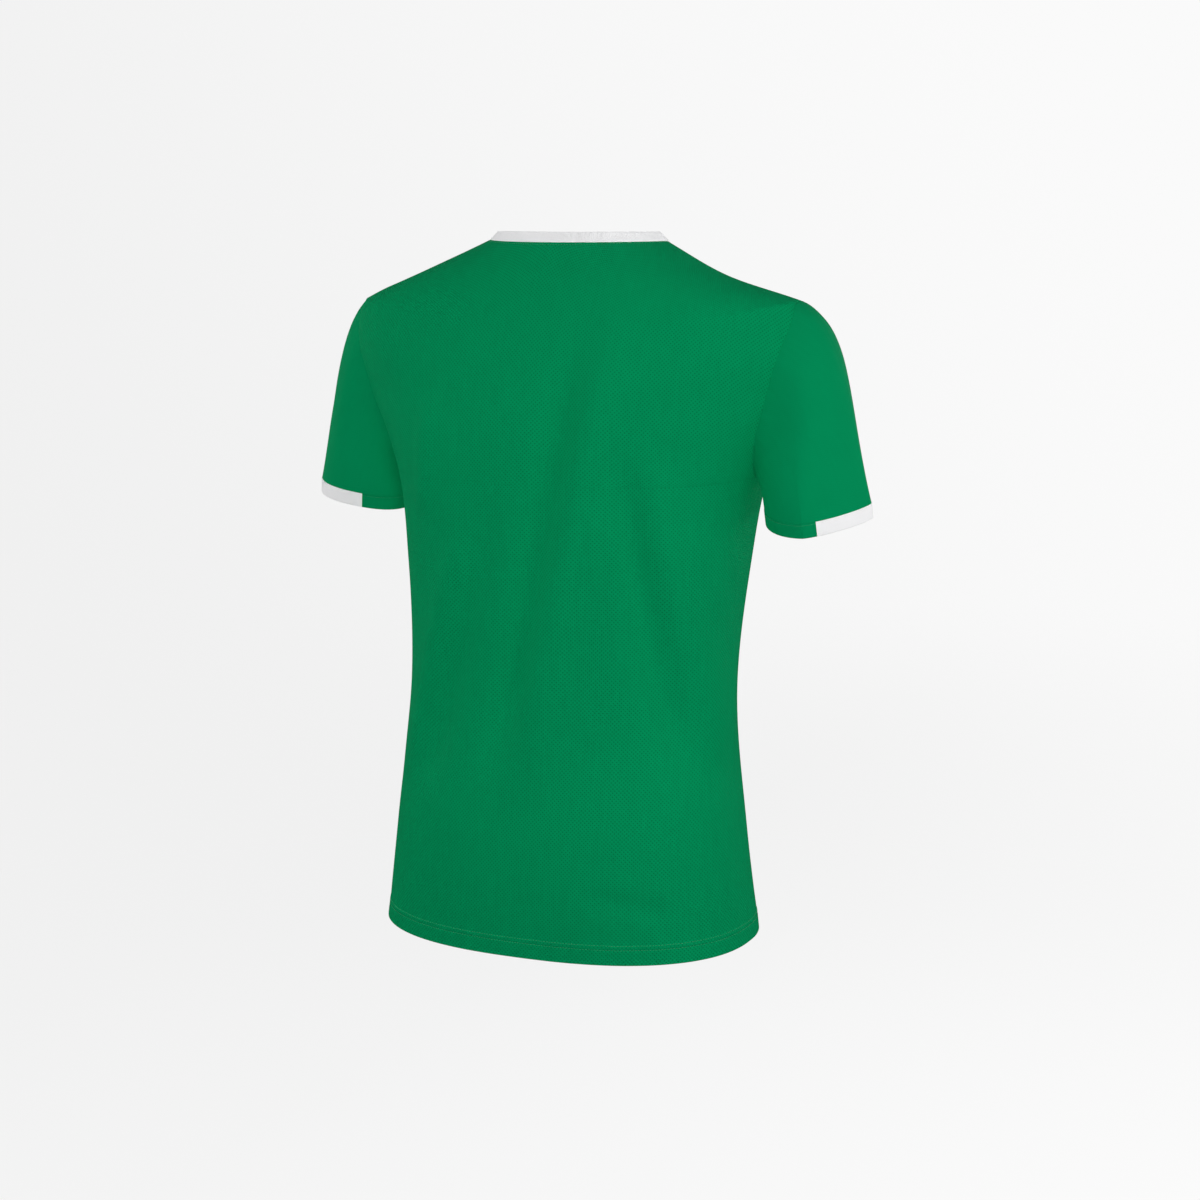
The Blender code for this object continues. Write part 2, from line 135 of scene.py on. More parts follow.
def curveThrough(at, places, values):
    # A smooth curve through rows of values.
    steps = np.diff(places)
    slopes = np.diff(values, axis=0) / steps[:, None]
    tangents = np.vstack([slopes[:1], np.zeros((len(places) - 2, values.shape[1])), slopes[-1:]])
    share = (steps[1:] / (steps[:-1] + steps[1:]))[:, None]
    tangents[1:-1] = slopes[:-1] * share + slopes[1:] * (1.0 - share)
    span = np.clip(np.searchsorted(places, at, side="right") - 1, 0, len(places) - 2)
    part = ((at - places[span]) / steps[span])[:, None]
    width = steps[span][:, None]
    return cubic(part, values[span], width * tangents[span], values[span + 1], width * tangents[span + 1])


panelCloth = {
    "thickness": 0.0008,         # two-ply feel of a 150 g eyelet knit, a little thick
    "step": 0.0032,              # between rows and columns of points
    "columnsFor": 0.46,          # the width that this step is counted over
    "armholeRows": 74,
    "seamRoll": 0.0004,          # how deep and wide an edge rolls into its seam
    "hemHeight": 0.0205,
    "hemRelief": 0.0006,         # a turned hem stands this much prouder than one layer
    "hemStep": 0.0006,           # half the width over which the hem's edge steps down
    "hemFold": 0.0008,           # radius of the fold along the bottom edge
    "foldInside": 1.6,           # the fold's inner side reaches this many radii up
    "hemStitches": (0.0200, 0.0155),   # heights of the twin-needle rows
    "neckStitches": 0.0024,      # below the neckband's seam
    # Rows lie closer by the hem's stitches, from this far under them to this far over, and by the
    # neck, from and to these distances. The last of each is how close they lie.
    "closeByHem": (0.0025, 0.0030, 0.00055),
    "closeByNeck": (0.0090, 0.0035, 0.0008),
    "stitchSink": 0.00035,
    "stitchWidth": 0.0009,
    "stitchLift": 0.00005,       # a thread's middle lies this far over the cloth
    "softSink": 0.6,             # the share of a stitch's sink in stretchy edges
    "seamMargin": 0.030,         # folds die away within this of a seam
    "pucker": 0.00035,           # small waves beside the armhole seams
    "puckerPeriod": 0.011,
    "puckerReach": {"panel": 0.004, "sleeve": 0.005},
    "ripple": 0.0004,            # and along the hem
    "ripplePeriod": 0.034,
    "rippleReach": 0.016,
}
edgeSteps = np.array([0.0, 0.00025, 0.0006, 0.0011, 0.0018])
foldSteps = np.array([0.02, 0.12, 0.35, 0.7, 1.0])    # heights up a fold, in its radii
# Where the waves of each piece begin, so that no two seams look alike.
puckerShift = {"back": 1.3, "front": 2.9, "left": 0.7, "right": 3.1}
rippleShift = {"back": 0.4, "front": 1.7}

# Soft folds, pressed in (depth above 0) or standing out (below 0). A panel's places are x and z.
# A sleeve's are the way round from the underarm by the back, and down from the armhole.
foldColumns = ("startU", "startV", "endU", "endV", "bow", "width", "depth")
clothFolds = {
    "back": (
        (-0.081, -0.085,  0.001, -0.530,  0.000, 0.023, -0.0095),
        (-0.052, -0.100,  0.032, -0.510,  0.000, 0.021,  0.0105),
        ( 0.036, -0.255,  0.121, -0.545, -0.004, 0.021,  0.0075),
        ( 0.063, -0.275,  0.147, -0.540, -0.004, 0.020, -0.0055),
        (-0.098, -0.198, -0.162, -0.530, -0.008, 0.018,  0.0088),
        (-0.128, -0.230, -0.188, -0.520, -0.008, 0.016, -0.0045),
        (-0.142, -0.180, -0.152, -0.290,  0.000, 0.026,  0.0025),
        ( 0.117, -0.160,  0.127, -0.270,  0.000, 0.014, -0.0035),
        (-0.088, -0.115, -0.104, -0.170,  0.000, 0.048, -0.0050),
        (-0.075, -0.640, -0.150, -0.655,  0.004, 0.012,  0.0020),
    ),
    "front": (
        ( 0.150, -0.200,  0.075, -0.400,  0.012, 0.022,  0.0060),
        (-0.148, -0.190, -0.085, -0.380, -0.010, 0.024,  0.0060),
        ( 0.020, -0.320,  0.050, -0.600, -0.008, 0.024,  0.0050),
        (-0.040, -0.350, -0.070, -0.640,  0.008, 0.022,  0.0050),
        ( 0.130, -0.380,  0.120, -0.640,  0.006, 0.020,  0.0045),
    ),
    "left": (
        ( 0.090,  0.030,  0.150,  0.120,  0.004, 0.020,  0.0005),
        ( 0.280,  0.030,  0.240,  0.120,  0.003, 0.014,  0.0024),
        ( 0.350,  0.015,  0.310,  0.090,  0.002, 0.010,  0.0015),
    ),
    "right": (
        ( 0.080,  0.030,  0.110,  0.120,  0.004, 0.022,  0.0005),
        ( 0.285,  0.025,  0.255,  0.125,  0.003, 0.014,  0.0026),
        ( 0.345,  0.020,  0.330,  0.080,  0.002, 0.011,  0.0013),
    ),
}
foldFade, foldLead = 0.30, 0.30   # share of a fold over which it deepens, and where that starts
foldTaper = 1.5                   # a short fold deepens over this many of its widths instead


def bodyRows():
    # The section values and armhole turn of every row of points, and the rows of the armpit and
    # the shoulder tip.
    cloth = panelCloth
    names = list(bodySections)
    table = np.array([bodySections[name] for name in names])
    wide, sideZ = sectionColumns.index("wide"), sectionColumns.index("sideZ")
    places = runAlong(table[:, [wide, sideZ]])
    armpit, tip = names.index("armpit"), names.index("tip")

    foldRise = cloth["hemFold"] * np.append(foldSteps, (1.5, 2.0))
    under, over, step = cloth["closeByHem"]
    low, high = min(cloth["hemStitches"]) - under, max(cloth["hemStitches"]) + over
    stitched = spaced(low, high, step)
    hemRows = np.concatenate([foldRise, spaced(foldRise[-1], low, cloth["step"])[1:-1], stitched])
    body = np.concatenate([hemRows, spaced(high, places[armpit], cloth["step"])[1:]])
    turn = np.linspace(0.0, math.pi, cloth["armholeRows"] + 1)[1:]
    byArmhole = places[armpit] + (places[tip] - places[armpit]) * (0.5 - 0.5 * np.cos(turn))
    nearNeck = places[-1] - np.concatenate([spaced(*cloth["closeByNeck"]), edgeSteps[::-1]])
    shoulder = np.concatenate([spaced(places[tip], nearNeck[0], cloth["step"])[1:-1], nearNeck])
    at = np.concatenate([body, byArmhole, shoulder])

    rows = curveThrough(at, places, table)
    tipRow = len(body) + len(byArmhole) - 1
    below = curveThrough(at, places[: tip + 1], table[: tip + 1])
    above = curveThrough(at, places[tip:], table[tip:])
    for name in (wide, sideZ):    # these two turn sharply at the shoulder tip
        rows[: tipRow + 1, name] = below[: tipRow + 1, name]
        rows[tipRow:, name] = above[tipRow:, name]
    opening = np.zeros(len(at))
    widest = curveThrough(byArmhole[:-1], places[armpit : tip + 1], table[armpit : tip + 1, -1:])[:, 0]
    opening[len(body) : tipRow] = widest * np.sin(turn[:-1]) ** bodyForm["armholeRound"]
    return rows, opening, len(body) - 1, tipRow


def shoulderRise(x):
    start, reach, drop = bodyForm["shoulderRounder"]
    fuller = sum(rise * bump(x - middle, width) for middle, width, rise in bodyForm["shoulderFuller"])
    return fuller - drop * smoothStep((x - start) / reach)


def rowCurve(row, opening, side, other, columns):
    # One row of points across a panel, from the wearer's right to the left.
    value = dict(zip(sectionColumns, row))
    forward = value["seam"] if side == "back" else -value["seam"]
    cut = math.radians(90.0 + forward - opening)
    angle = np.linspace(-cut, cut, bodyForm["samples"] + 1)
    beyond = np.cos(angle) < 0.0
    power = 2.0 / np.where(beyond, value[other + "Square"], value[side + "Square"])
    endY = np.where(beyond, value[other + "Y"], value[side + "Y"])
    endZ = np.where(beyond, value[other + "Z"], value[side + "Z"])
    across = np.abs(np.cos(angle)) ** power
    x = value["wide"] * np.sign(angle) * np.abs(np.sin(angle)) ** power
    y = value["mid"] + (endY - value["mid"]) * across
    z = value["sideZ"] + (endZ - value["sideZ"]) * across ** bodyForm["levelCurve"]
    hemWide, hemZ = bodySections["hem"][0], bodySections["hem"][2]
    low, high = smoothStep(z / hemZ * 2.0 - 1.0), smoothStep(1.0 - z / hemZ * 2.0)
    z = z + (bodyForm["shoulderLeftRise"] * high - bodyForm["hemLeftDrop"] * low) * x / hemWide
    z = z + shoulderRise(x) * smoothStep(1.0 + z / bodyForm["shoulderDepth"])
    points = np.stack([x, y, z], axis=1)
    run = runAlong(points)
    return pointsAt(closeAtEdges(run[-1], columns), run, points)


def closeAtEdges(length, count):
    # Even places along a length, with closer ones at both ends.
    inside = np.linspace(edgeSteps[-1], length - edgeSteps[-1], count)
    return np.concatenate([edgeSteps[:-1], inside, length - edgeSteps[-2::-1]])


def surfaceNormals(grid, closed):
    if closed:
        across = np.roll(grid, -1, axis=1) - np.roll(grid, 1, axis=1)
        along, middle = np.gradient(grid, axis=0), grid.mean(axis=(0, 1))
    else:
        across, along, middle = np.gradient(grid, axis=1), rowDirections(grid), np.zeros(3)
    normals = unit(np.cross(along, across))
    return normals if (normals * (grid - middle) * level).sum() > 0.0 else -normals


def rowDirections(grid):
    # The way on from row to row, measured straight up the panel over a few millimetres, because
    # beside an armhole its points slide sideways between rows that lie very close together.
    run = distances(grid, axis=1)[0]
    run = run - run[:, -1:] / 2.0
    height = runAlong(grid[:, grid.shape[1] // 2])
    reach = panelCloth["step"] / 2.0
    lowest = np.searchsorted(height, height - reach)
    highest = np.searchsorted(height, height + reach, side="right") - 1
    found = np.empty_like(grid)
    for row in range(len(grid)):
        below = min(max(0, row - 1), lowest[row])
        above = max(min(len(grid) - 1, row + 1), highest[row])
        held = np.clip(run[row], max(run[below, 0], run[above, 0]), min(run[below, -1], run[above, -1]))
        ends = [pointsAt(held, run[each], grid[each]) for each in (above, below)]
        found[row] = ends[0] - ends[1]
    return found


def distances(grid, axis):
    # How far each point is from the first and from the last of its line.
    run = np.cumsum(np.linalg.norm(np.diff(grid, axis=axis), axis=2), axis=axis)
    run = np.pad(run, [(1, 0) if axis == 0 else (0, 0), (1, 0) if axis == 1 else (0, 0)])
    return run, (run[-1:, :] if axis == 0 else run[:, -1:]) - run


def foldOffset(folds, u, v):
    offset = np.zeros_like(u)
    for fold in folds:
        value = dict(zip(foldColumns, fold))
        runU, runV = value["endU"] - value["startU"], value["endV"] - value["startV"]
        length = math.hypot(runU, runV)
        fromU, fromV = u - value["startU"], v - value["startV"]
        along = (fromU * runU + fromV * runV) / length**2
        aside = (fromU * runV - fromV * runU) / length
        held = np.clip(along, 0.0, 1.0)
        aside = aside - value["bow"] * 4.0 * held * (1.0 - held)
        taper = max(foldFade, foldTaper * value["width"] / length)
        fade = smoothStep(np.minimum(along, 1.0 - along) / taper + foldLead)
        offset += value["depth"] * fade * bump(aside, value["width"])
    return offset


def seamRoll(distance):
    # How far an edge has rolled inwards at a distance from its seam, as a quarter circle does.
    radius = panelCloth["seamRoll"]
    inside = np.clip(radius - distance, 0.0, radius)
    return radius - np.sqrt(np.maximum(radius**2 - inside**2, 0.0))


def stitchDip(distance):
    # How deep a row of stitches draws the cloth in, at a distance from it.
    return panelCloth["stitchSink"] * bump(distance, panelCloth["stitchWidth"])


def layPanel(side, other, rows, openings, armpit, tip):
    # A body panel's points and normals with its folds pressed in, and its distances from its edges.
    cloth = panelCloth
    columns = round(cloth["columnsFor"] / cloth["step"])
    grid = np.array([rowCurve(row, turn, side, other, columns) for row, turn in zip(rows, openings)])
    normals = surfaceNormals(grid, closed=False)
    fromRight, fromLeft = distances(grid, axis=1)
    fromHem, fromNeck = distances(grid, axis=0)
    edge = np.minimum(fromRight, fromLeft)
    margin = smoothStep(np.minimum(edge, fromNeck) / cloth["seamMargin"])
    pressed = foldOffset(clothFolds[side], grid[..., 0], grid[..., 2]) * margin

    besideArmhole = np.zeros(len(rows))
    besideArmhole[armpit : tip + 1] = np.sin(np.linspace(0.0, math.pi, tip + 1 - armpit)) ** 0.5
    waves = unevenWave(fromHem, cloth["puckerPeriod"], puckerShift[side])
    fade = beside(edge, cloth["puckerReach"]["panel"])
    pressed += cloth["pucker"] * waves * fade * besideArmhole[:, None]
    ripples = unevenWave(fromRight, cloth["ripplePeriod"], rippleShift[side])
    pressed += cloth["ripple"] * ripples * bump(fromHem - cloth["hemHeight"], cloth["rippleReach"])

    grid = grid - normals * pressed[..., None]
    return {
        "grid": grid, "normals": surfaceNormals(grid, closed=False), "fromRight": fromRight,
        "fromLeft": fromLeft, "fromHem": fromHem, "fromNeck": fromNeck,
    }


def shareSeamNormals(back, front, armpit, tip):
    # Both panels face the same way along the side seams and the shoulder seams.
    for edge in (0, -1):
        for rows in (slice(0, armpit + 1), slice(tip, None)):
            shared = unit(back["normals"][rows, edge] + front["normals"][rows, edge])
            back["normals"][rows, edge] = shared
            front["normals"][rows, edge] = shared


def panelWall(panel):
    # How far a panel's outer and inner sides stand from its points.
    cloth, height = panelCloth, panel["fromHem"]
    belowStep = cloth["hemHeight"] + cloth["hemStep"] - height
    outer = cloth["hemRelief"] * smoothStep(belowStep / (2.0 * cloth["hemStep"]))
    for line in cloth["hemStitches"]:
        outer -= stitchDip(height - line)
    outer -= cloth["softSink"] * stitchDip(panel["fromNeck"] - cloth["neckStitches"])
    edge = seamRoll(np.minimum(panel["fromRight"], panel["fromLeft"]))
    outer -= edge + seamRoll(panel["fromNeck"])
    radius = cloth["hemFold"]
    middle = cloth["hemRelief"] - radius - edge
    return foldUnder(outer, outer - cloth["thickness"], height, radius, middle, cloth["foldInside"])


def foldUnder(outer, inner, height, radius, middle, inside):
    # The bottom edge is the fold of a turned layer: half round, and two layers thick.
    half = np.sqrt(np.maximum(radius**2 - np.clip(radius - height, 0.0, radius) ** 2, 0.0))
    outer = np.where(height < radius, middle + half, outer)
    return outer, np.where(height < inside * radius, middle - half, inner)


def newObject(name, data):
    made = bpy.data.objects.new(name, data)
    bpy.context.scene.collection.objects.link(made)
    return made


sharpAngle = math.radians(55.0)    # faces that meet at more than this keep a sharp edge


def wallMesh(name, outer, inner, places, closed=False):
    # A closed shell between two grids of points. places holds the cloth's own coordinates in
    # metres, with one more column than the points where the shell closes on itself.
    rows, columns = outer.shape[:2]
    index = np.arange(rows * columns).reshape(rows, columns)
    index = np.concatenate([index, index[:, :1]], axis=1) if closed else index
    far, near = index, index + rows * columns
    faces, corners = [], []

    def addFaces(*around):
        faces.append(np.stack([points for points, _ in around], axis=-1).reshape(-1, 4))
        corners.append(np.stack([place for _, place in around], axis=-2).reshape(-1, 4, 2))

    ahead, behind = slice(1, None), slice(None, -1)
    turns = ((behind, behind), (behind, ahead), (ahead, ahead), (ahead, behind))
    for sheet in (far, near):
        addFaces(*[(sheet[part], places[part]) for part in turns])
    rims = [[grid[row] for grid in (far, near, places)] for row in (0, -1)]
    if not closed:
        rims += [[grid[:, column] for grid in (far, near, places)] for column in (0, -1)]
    for top, bottom, at in rims:
        addFaces((top[:-1], at[:-1]), (top[1:], at[1:]), (bottom[1:], at[1:]), (bottom[:-1], at[:-1]))

    points = np.concatenate([outer.reshape(-1, 3), inner.reshape(-1, 3)])
    data = bpy.data.meshes.new(name)
    data.from_pydata(points.tolist(), [], np.concatenate(faces).tolist())
    layer = data.uv_layers.new(name="cloth")
    layer.data.foreach_set("uv", np.concatenate(corners).astype(np.float32).ravel())
    working = bmesh.new()
    working.from_mesh(data)
    bmesh.ops.recalc_face_normals(working, faces=working.faces)
    working.to_mesh(data)
    working.free()
    data.shade_smooth()
    data.set_sharp_from_angle(angle=sharpAngle)
    return newObject(name, data)


def shadeSmoothly(piece, outer, inner, rows):
    # Sets the shading of these rows of a panel, where its faces are too thin to shade well alone.
    facing = np.concatenate([surfaceNormals(outer, closed=False).reshape(-1, 3),
                             -surfaceNormals(inner, closed=False).reshape(-1, 3)])
    chosen = np.zeros(outer.shape[:2], bool)
    chosen[rows] = True
    chosen = np.tile(chosen.ravel(), 2)
    data = piece.data
    corners = np.empty(len(data.loops) * 3, np.float32)
    data.corner_normals.foreach_get("vector", corners)
    points = np.empty(len(data.loops), np.int32)
    data.loops.foreach_get("vertex_index", points)
    corners = corners.reshape(-1, 3)
    sheetFaces = 2 * (outer.shape[0] - 1) * (outer.shape[1] - 1)
    inSheets = np.arange(len(corners)) < 4 * sheetFaces
    picked = inSheets & chosen[points]
    corners[picked] = facing[points[picked]]
    data.normals_split_custom_set(corners.tolist())


def dress(piece, material, slotName, *nodes):
    # Every piece rides on the one body, and stands for its solids.
    piece.data.materials.clear()
    piece.data.materials.append(material)
    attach(piece, "root")
    if nodes:
        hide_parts(*nodes)
    return piece


def hexColour(code):
    # An sRGB hex colour as the linear one that a shader takes.
    parts = [int(code[at : at + 2], 16) / 255.0 for at in (1, 3, 5)]
    linear = [part / 12.92 if part <= 0.04045 else ((part + 0.055) / 1.055) ** 2.4 for part in parts]
    return (*linear, 1.0)


def addNode(tree, kind, *inputs, **settings):
    # One node. Its inputs come in order, or by name in a dictionary, and each is given a value, or
    # the node or the output that feeds it.
    node = tree.nodes.new(kind)
    for name, value in settings.items():
        setattr(node, name, value)
    byName = inputs[0] if inputs and isinstance(inputs[0], dict) else dict(enumerate(inputs))
    for name, value in byName.items():
        if isinstance(value, bpy.types.Node):
            value = value.outputs[0]
        if isinstance(value, bpy.types.NodeSocket):
            tree.links.new(value, node.inputs[name])
        else:
            node.inputs[name].default_value = value
    return node


def emptyTree(owner):
    # The node tree of a new material or world, with nothing in it yet.
    owner.use_nodes = True
    owner.node_tree.nodes.clear()
    return owner.node_tree


# What an interlock knit is, dyed or not.
interlock = {
    "hollowShadeShare": 0.30, "across": 0.0022, "along": 0.0030,
    "depth": 0.00004, "wale": 0.0011, "waleDepth": 0.40,
}
# "across" and "along" are the pattern's pitch on the cloth, "wale" that of the fine ribs in it,
# and "streaks" is how much single yarns stand out along the cloth. "hollow" is a colour of
# painted shade, mixed into the knit's hollows up to its share.
knitLooks = {
    # A warp knit with staggered eyelets, which break up the shine of its polyester yarn, so that it
    # looks matt with a faint diagonal grid. The real eyelets lie about 2 mm apart: they are drawn
    # twice as far apart, so that they show.
    "eyelet": {
        "name": "green polyester eyelet knit", "colour": "#038a55", "hollow": "#02653b",
        "hollowShadeShare": 0.72, "across": 0.0040, "along": 0.0040,
        "depth": 0.00020, "wale": 0.0011, "waleDepth": 0.12,
        "roughness": 0.66, "specular": 0.04, "sheen": 0.03, "sheenTint": "#00a868", "streaks": 0.03,
    },
    # A smooth interlock: no holes, only fine upright wales, so it shines a little more evenly.
    "plain": {
        **interlock, "name": "green polyester interlock knit", "colour": "#038552", "hollow": "#02764a",
        "roughness": 0.62, "specular": 0.05, "sheen": 0.04, "sheenTint": "#00a868", "streaks": 0.015,
    },
    # The neckband is a 1x1 rib with elastane: soft, matt ribs across the band.
    "rib": {
        "name": "white elastane rib knit", "colour": "#f2f2f3", "hollow": "#dadbdd", "hollowShadeShare": 0.35,
        "across": 0.0016, "along": 0.0012, "depth": 0.00004, "wale": 0.0008, "waleDepth": 0.20,
        "roughness": 0.80, "specular": 0.25, "sheen": 0.25, "sheenTint": "#ffffff", "streaks": 0.01,
    },
    # The white part of each cuff is the same interlock as the sleeve, undyed.
    "white": {
        **interlock, "name": "white polyester interlock knit", "colour": "#f5f5f6", "hollow": "#dfe0e2",
        "roughness": 0.60, "specular": 0.35, "sheen": 0.20, "sheenTint": "#ffffff", "streaks": 0.01,
    },
}


dyeing = {
    "patches": 7.0, "patchShades": (0.965, 1.03),    # the dye's soft patches, about 14 cm apart
    "streaks": (330.0, 22.0, 1.0),                   # yarns that took it differently, 3 by 45 mm
}


def makeKnit(look):
    material = bpy.data.materials.new(look["name"])
    tree = emptyTree(material)
    cloth = addNode(tree, "ShaderNodeUVMap", uv_map="cloth")
    apart = addNode(tree, "ShaderNodeSeparateXYZ", cloth)
    waves = []
    for axis, pitch in (("X", look["across"]), ("Y", look["along"]), ("X", look["wale"])):
        turns = addNode(tree, "ShaderNodeMath", apart.outputs[axis], 2.0 * math.pi / pitch,
                operation="MULTIPLY")
        waves.append(addNode(tree, "ShaderNodeMath", turns, operation="COSINE"))
    staggered = addNode(tree, "ShaderNodeMath", waves[0], waves[1], operation="MULTIPLY")
    hollow = addNode(tree, "ShaderNodeMapRange", {"Value": staggered, "From Min": 0.05, "From Max": 0.95},
            interpolation_type="SMOOTHSTEP")
    ribs = addNode(tree, "ShaderNodeMath", waves[2], look["waleDepth"], operation="MULTIPLY")
    height = addNode(tree, "ShaderNodeMath", ribs, hollow, operation="SUBTRACT")
    relief = addNode(tree, "ShaderNodeBump", {"Strength": 1.0, "Distance": look["depth"], "Height": height})
    place = addNode(tree, "ShaderNodeTexCoord")
    patches = addNode(tree, "ShaderNodeTexNoise", {"Vector": place.outputs["Object"],
            "Scale": dyeing["patches"], "Detail": 4.0, "Roughness": 0.6})
    uneven = addNode(tree, "ShaderNodeMapRange", {"Value": patches, "From Min": 0.3, "From Max": 0.7,
            "To Min": dyeing["patchShades"][0], "To Max": dyeing["patchShades"][1]})
    # Painted shade: the knit's hollows are darkened towards its "hollow" colour.
    share = addNode(tree, "ShaderNodeMath", hollow, look["hollowShadeShare"], operation="MULTIPLY")
    mixed = addNode(tree, "ShaderNodeMix", {0: share, 6: hexColour(look["colour"]),
            7: hexColour(look["hollow"])}, data_type="RGBA")
    drawn = addNode(tree, "ShaderNodeVectorMath", cloth, dyeing["streaks"], operation="MULTIPLY")
    yarns = addNode(tree, "ShaderNodeTexNoise", {"Vector": drawn, "Scale": 1.0, "Detail": 2.0,
            "Roughness": 0.5})
    streaks = addNode(tree, "ShaderNodeMapRange", {"Value": yarns, "From Min": 0.3, "From Max": 0.7,
            "To Min": 1.0 - look["streaks"], "To Max": 1.0 + look["streaks"]})
    shade = addNode(tree, "ShaderNodeMath", uneven, streaks, operation="MULTIPLY")
    dyed = addNode(tree, "ShaderNodeHueSaturation", {"Value": shade, "Color": mixed.outputs[2]})
    shader = addNode(tree, "ShaderNodeBsdfPrincipled", {"Base Color": dyed, "Normal": relief,
            "Roughness": look["roughness"], "Specular IOR Level": look["specular"],
            "Specular Tint": hexColour(look["sheenTint"]), "Sheen Weight": look["sheen"],
            "Sheen Roughness": 0.4, "Sheen Tint": hexColour(look["sheenTint"])})
    addNode(tree, "ShaderNodeOutputMaterial", {"Surface": shader})
    return material


threadLooks = {
    # Spun polyester sewing thread: a touch glossier than the cloth, so each stitch catches light.
    "green": {"name": "green polyester thread", "colour": "#07824f"},
    "white": {"name": "white polyester thread", "colour": "#e4e4e6"},
}


def makeThread(look):
    material = bpy.data.materials.new(look["name"])
    tree = emptyTree(material)
    place = addNode(tree, "ShaderNodeTexCoord")
    # The noise is about 0.4 mm, a ply's twist.
    fibres = addNode(tree, "ShaderNodeTexNoise", {"Vector": place.outputs["Object"], "Scale": 2500.0,
            "Detail": 2.0})
    shade = addNode(tree, "ShaderNodeMapRange", {"Value": fibres, "To Min": 0.88, "To Max": 1.08})
    dyed = addNode(tree, "ShaderNodeHueSaturation", {"Value": shade, "Color": hexColour(look["colour"])})
    relief = addNode(tree, "ShaderNodeBump", {"Distance": 0.00005, "Height": fibres})
    shader = addNode(tree, "ShaderNodeBsdfPrincipled", {"Base Color": dyed, "Normal": relief,
            "Roughness": 0.45, "Sheen Weight": 0.15})
    addNode(tree, "ShaderNodeOutputMaterial", {"Surface": shader})
    return material


knit = {name: makeKnit(look) for name, look in knitLooks.items()}
thread = {name: makeThread(look) for name, look in threadLooks.items()}
print("materials made:", len(knit) + len(thread))


def evaluatedMesh(piece, tree, values):
    # The mesh that a tree of nodes makes of a piece, with the tree's inputs set by identifier.
    modifier = piece.modifiers.new("made by nodes", "NODES")
    modifier.node_group = tree
    for item in tree.interface.items_tree:
        if item.in_out == "INPUT" and item.name in values:
            modifier[item.identifier] = values[item.name]
    graph = bpy.context.evaluated_depsgraph_get()
    made = bpy.data.meshes.new_from_object(piece.evaluated_get(graph), depsgraph=graph)
    piece.modifiers.remove(modifier)
    piece.data = made
    return piece


def newTree(name, inputs):
    tree = bpy.data.node_groups.new(name, "GeometryNodeTree")
    for label, kind in inputs:
        tree.interface.new_socket(label, in_out="INPUT", socket_type="NodeSocket" + kind)
    tree.interface.new_socket("Geometry", in_out="OUTPUT", socket_type="NodeSocketGeometry")
    return tree, addNode(tree, "NodeGroupInput").outputs


stitchLook = {
    "Stitch pitch": 0.0029,
    "Stitch length": 0.0024,
    "Thread thickness": 0.00045,
    "Seed": 11,
}


def stitchTree():
    # Stitches set along a line. Each lies along the line's "threadWay" and faces its "outward".
    tree, given = newTree("stitches along a seam", (
        ("Seam line", "Geometry"), ("Stitch pitch", "Float"), ("Stitch length", "Float"),
        ("Thread thickness", "Float"), ("Seed", "Int"), ("Thread", "Material")))
    line = addNode(tree, "GeometryNodeMeshToCurve", given["Seam line"])
    evenly = addNode(tree, "GeometryNodeResampleCurve", {"Curve": line, "Length": given["Stitch pitch"]},
            mode="LENGTH")
    ball = addNode(tree, "GeometryNodeMeshUVSphere", {"Segments": 6, "Rings": 5, "Radius": 0.5})
    smooth = addNode(tree, "GeometryNodeSetShadeSmooth", {"Geometry": ball})
    ways = [addNode(tree, "GeometryNodeInputNamedAttribute", {"Name": name}, data_type="FLOAT_VECTOR")
            for name in ("threadWay", "outward")]
    along = addNode(tree, "FunctionNodeAlignRotationToVector", {"Vector": ways[0]}, axis="X")
    facing = addNode(tree, "FunctionNodeAlignRotationToVector", {"Rotation": along, "Vector": ways[1]},
            axis="Z", pivot_axis="X")
    uneven = addNode(tree, "FunctionNodeRandomValue", {2: 0.90, 3: 1.06, "Seed": given["Seed"]},
            data_type="FLOAT")
    length = addNode(tree, "ShaderNodeMath", given["Stitch length"], uneven.outputs[1],
            operation="MULTIPLY")
    size = addNode(tree, "ShaderNodeCombineXYZ", {"X": length, "Y": given["Thread thickness"],
            "Z": given["Thread thickness"]})
    stitches = addNode(tree, "GeometryNodeInstanceOnPoints", {"Points": evenly, "Instance": smooth,
            "Rotation": facing, "Scale": size})
    real = addNode(tree, "GeometryNodeRealizeInstances", {"Geometry": stitches})
    dyed = addNode(tree, "GeometryNodeSetMaterial", {"Geometry": real, "Material": given["Thread"]})
    addNode(tree, "NodeGroupOutput", dyed)
    return tree


stitchNodes = stitchTree()


def sewStitches(name, lines, material, slotName):
    # lines holds (points, outward, threadWay) for each row of stitches.
    points = np.concatenate([line[0] for line in lines])
    edges, start = [], 0
    for line in lines:
        edges += [(at, at + 1) for at in range(start, start + len(line[0]) - 1)]
        start += len(line[0])
    data = bpy.data.meshes.new(name)
    data.from_pydata(points.tolist(), edges, [])
    for at, label in ((1, "outward"), (2, "threadWay")):
        layer = data.attributes.new(label, "FLOAT_VECTOR", "POINT")
        ways = np.concatenate([line[at] for line in lines])
        layer.data.foreach_set("vector", ways.astype(np.float32).ravel())
    piece = newObject(name, data)
    evaluatedMesh(piece, stitchNodes, {**stitchLook, "Thread": material})
    return dress(piece, material, slotName)


def lineAcross(panel, outer, key, distance):
    # The line of points on a panel that lies at a distance from its hem or neck.
    surface = panel["grid"] + panel["normals"] * outer[..., None]
    onwards = slice(None, None, 1 if key == "fromHem" else -1)
    run, surface, normals = [values[onwards] for values in (panel[key], surface, panel["normals"])]
    columns = range(run.shape[1])
    points, outward = [np.array([pointsAt(distance, run[:, at], values[:, at]) for at in columns])
                       for values in (surface, normals)]
    outward = unit(outward)
    return points + outward * panelCloth["stitchLift"], outward, unit(np.gradient(points, axis=0))


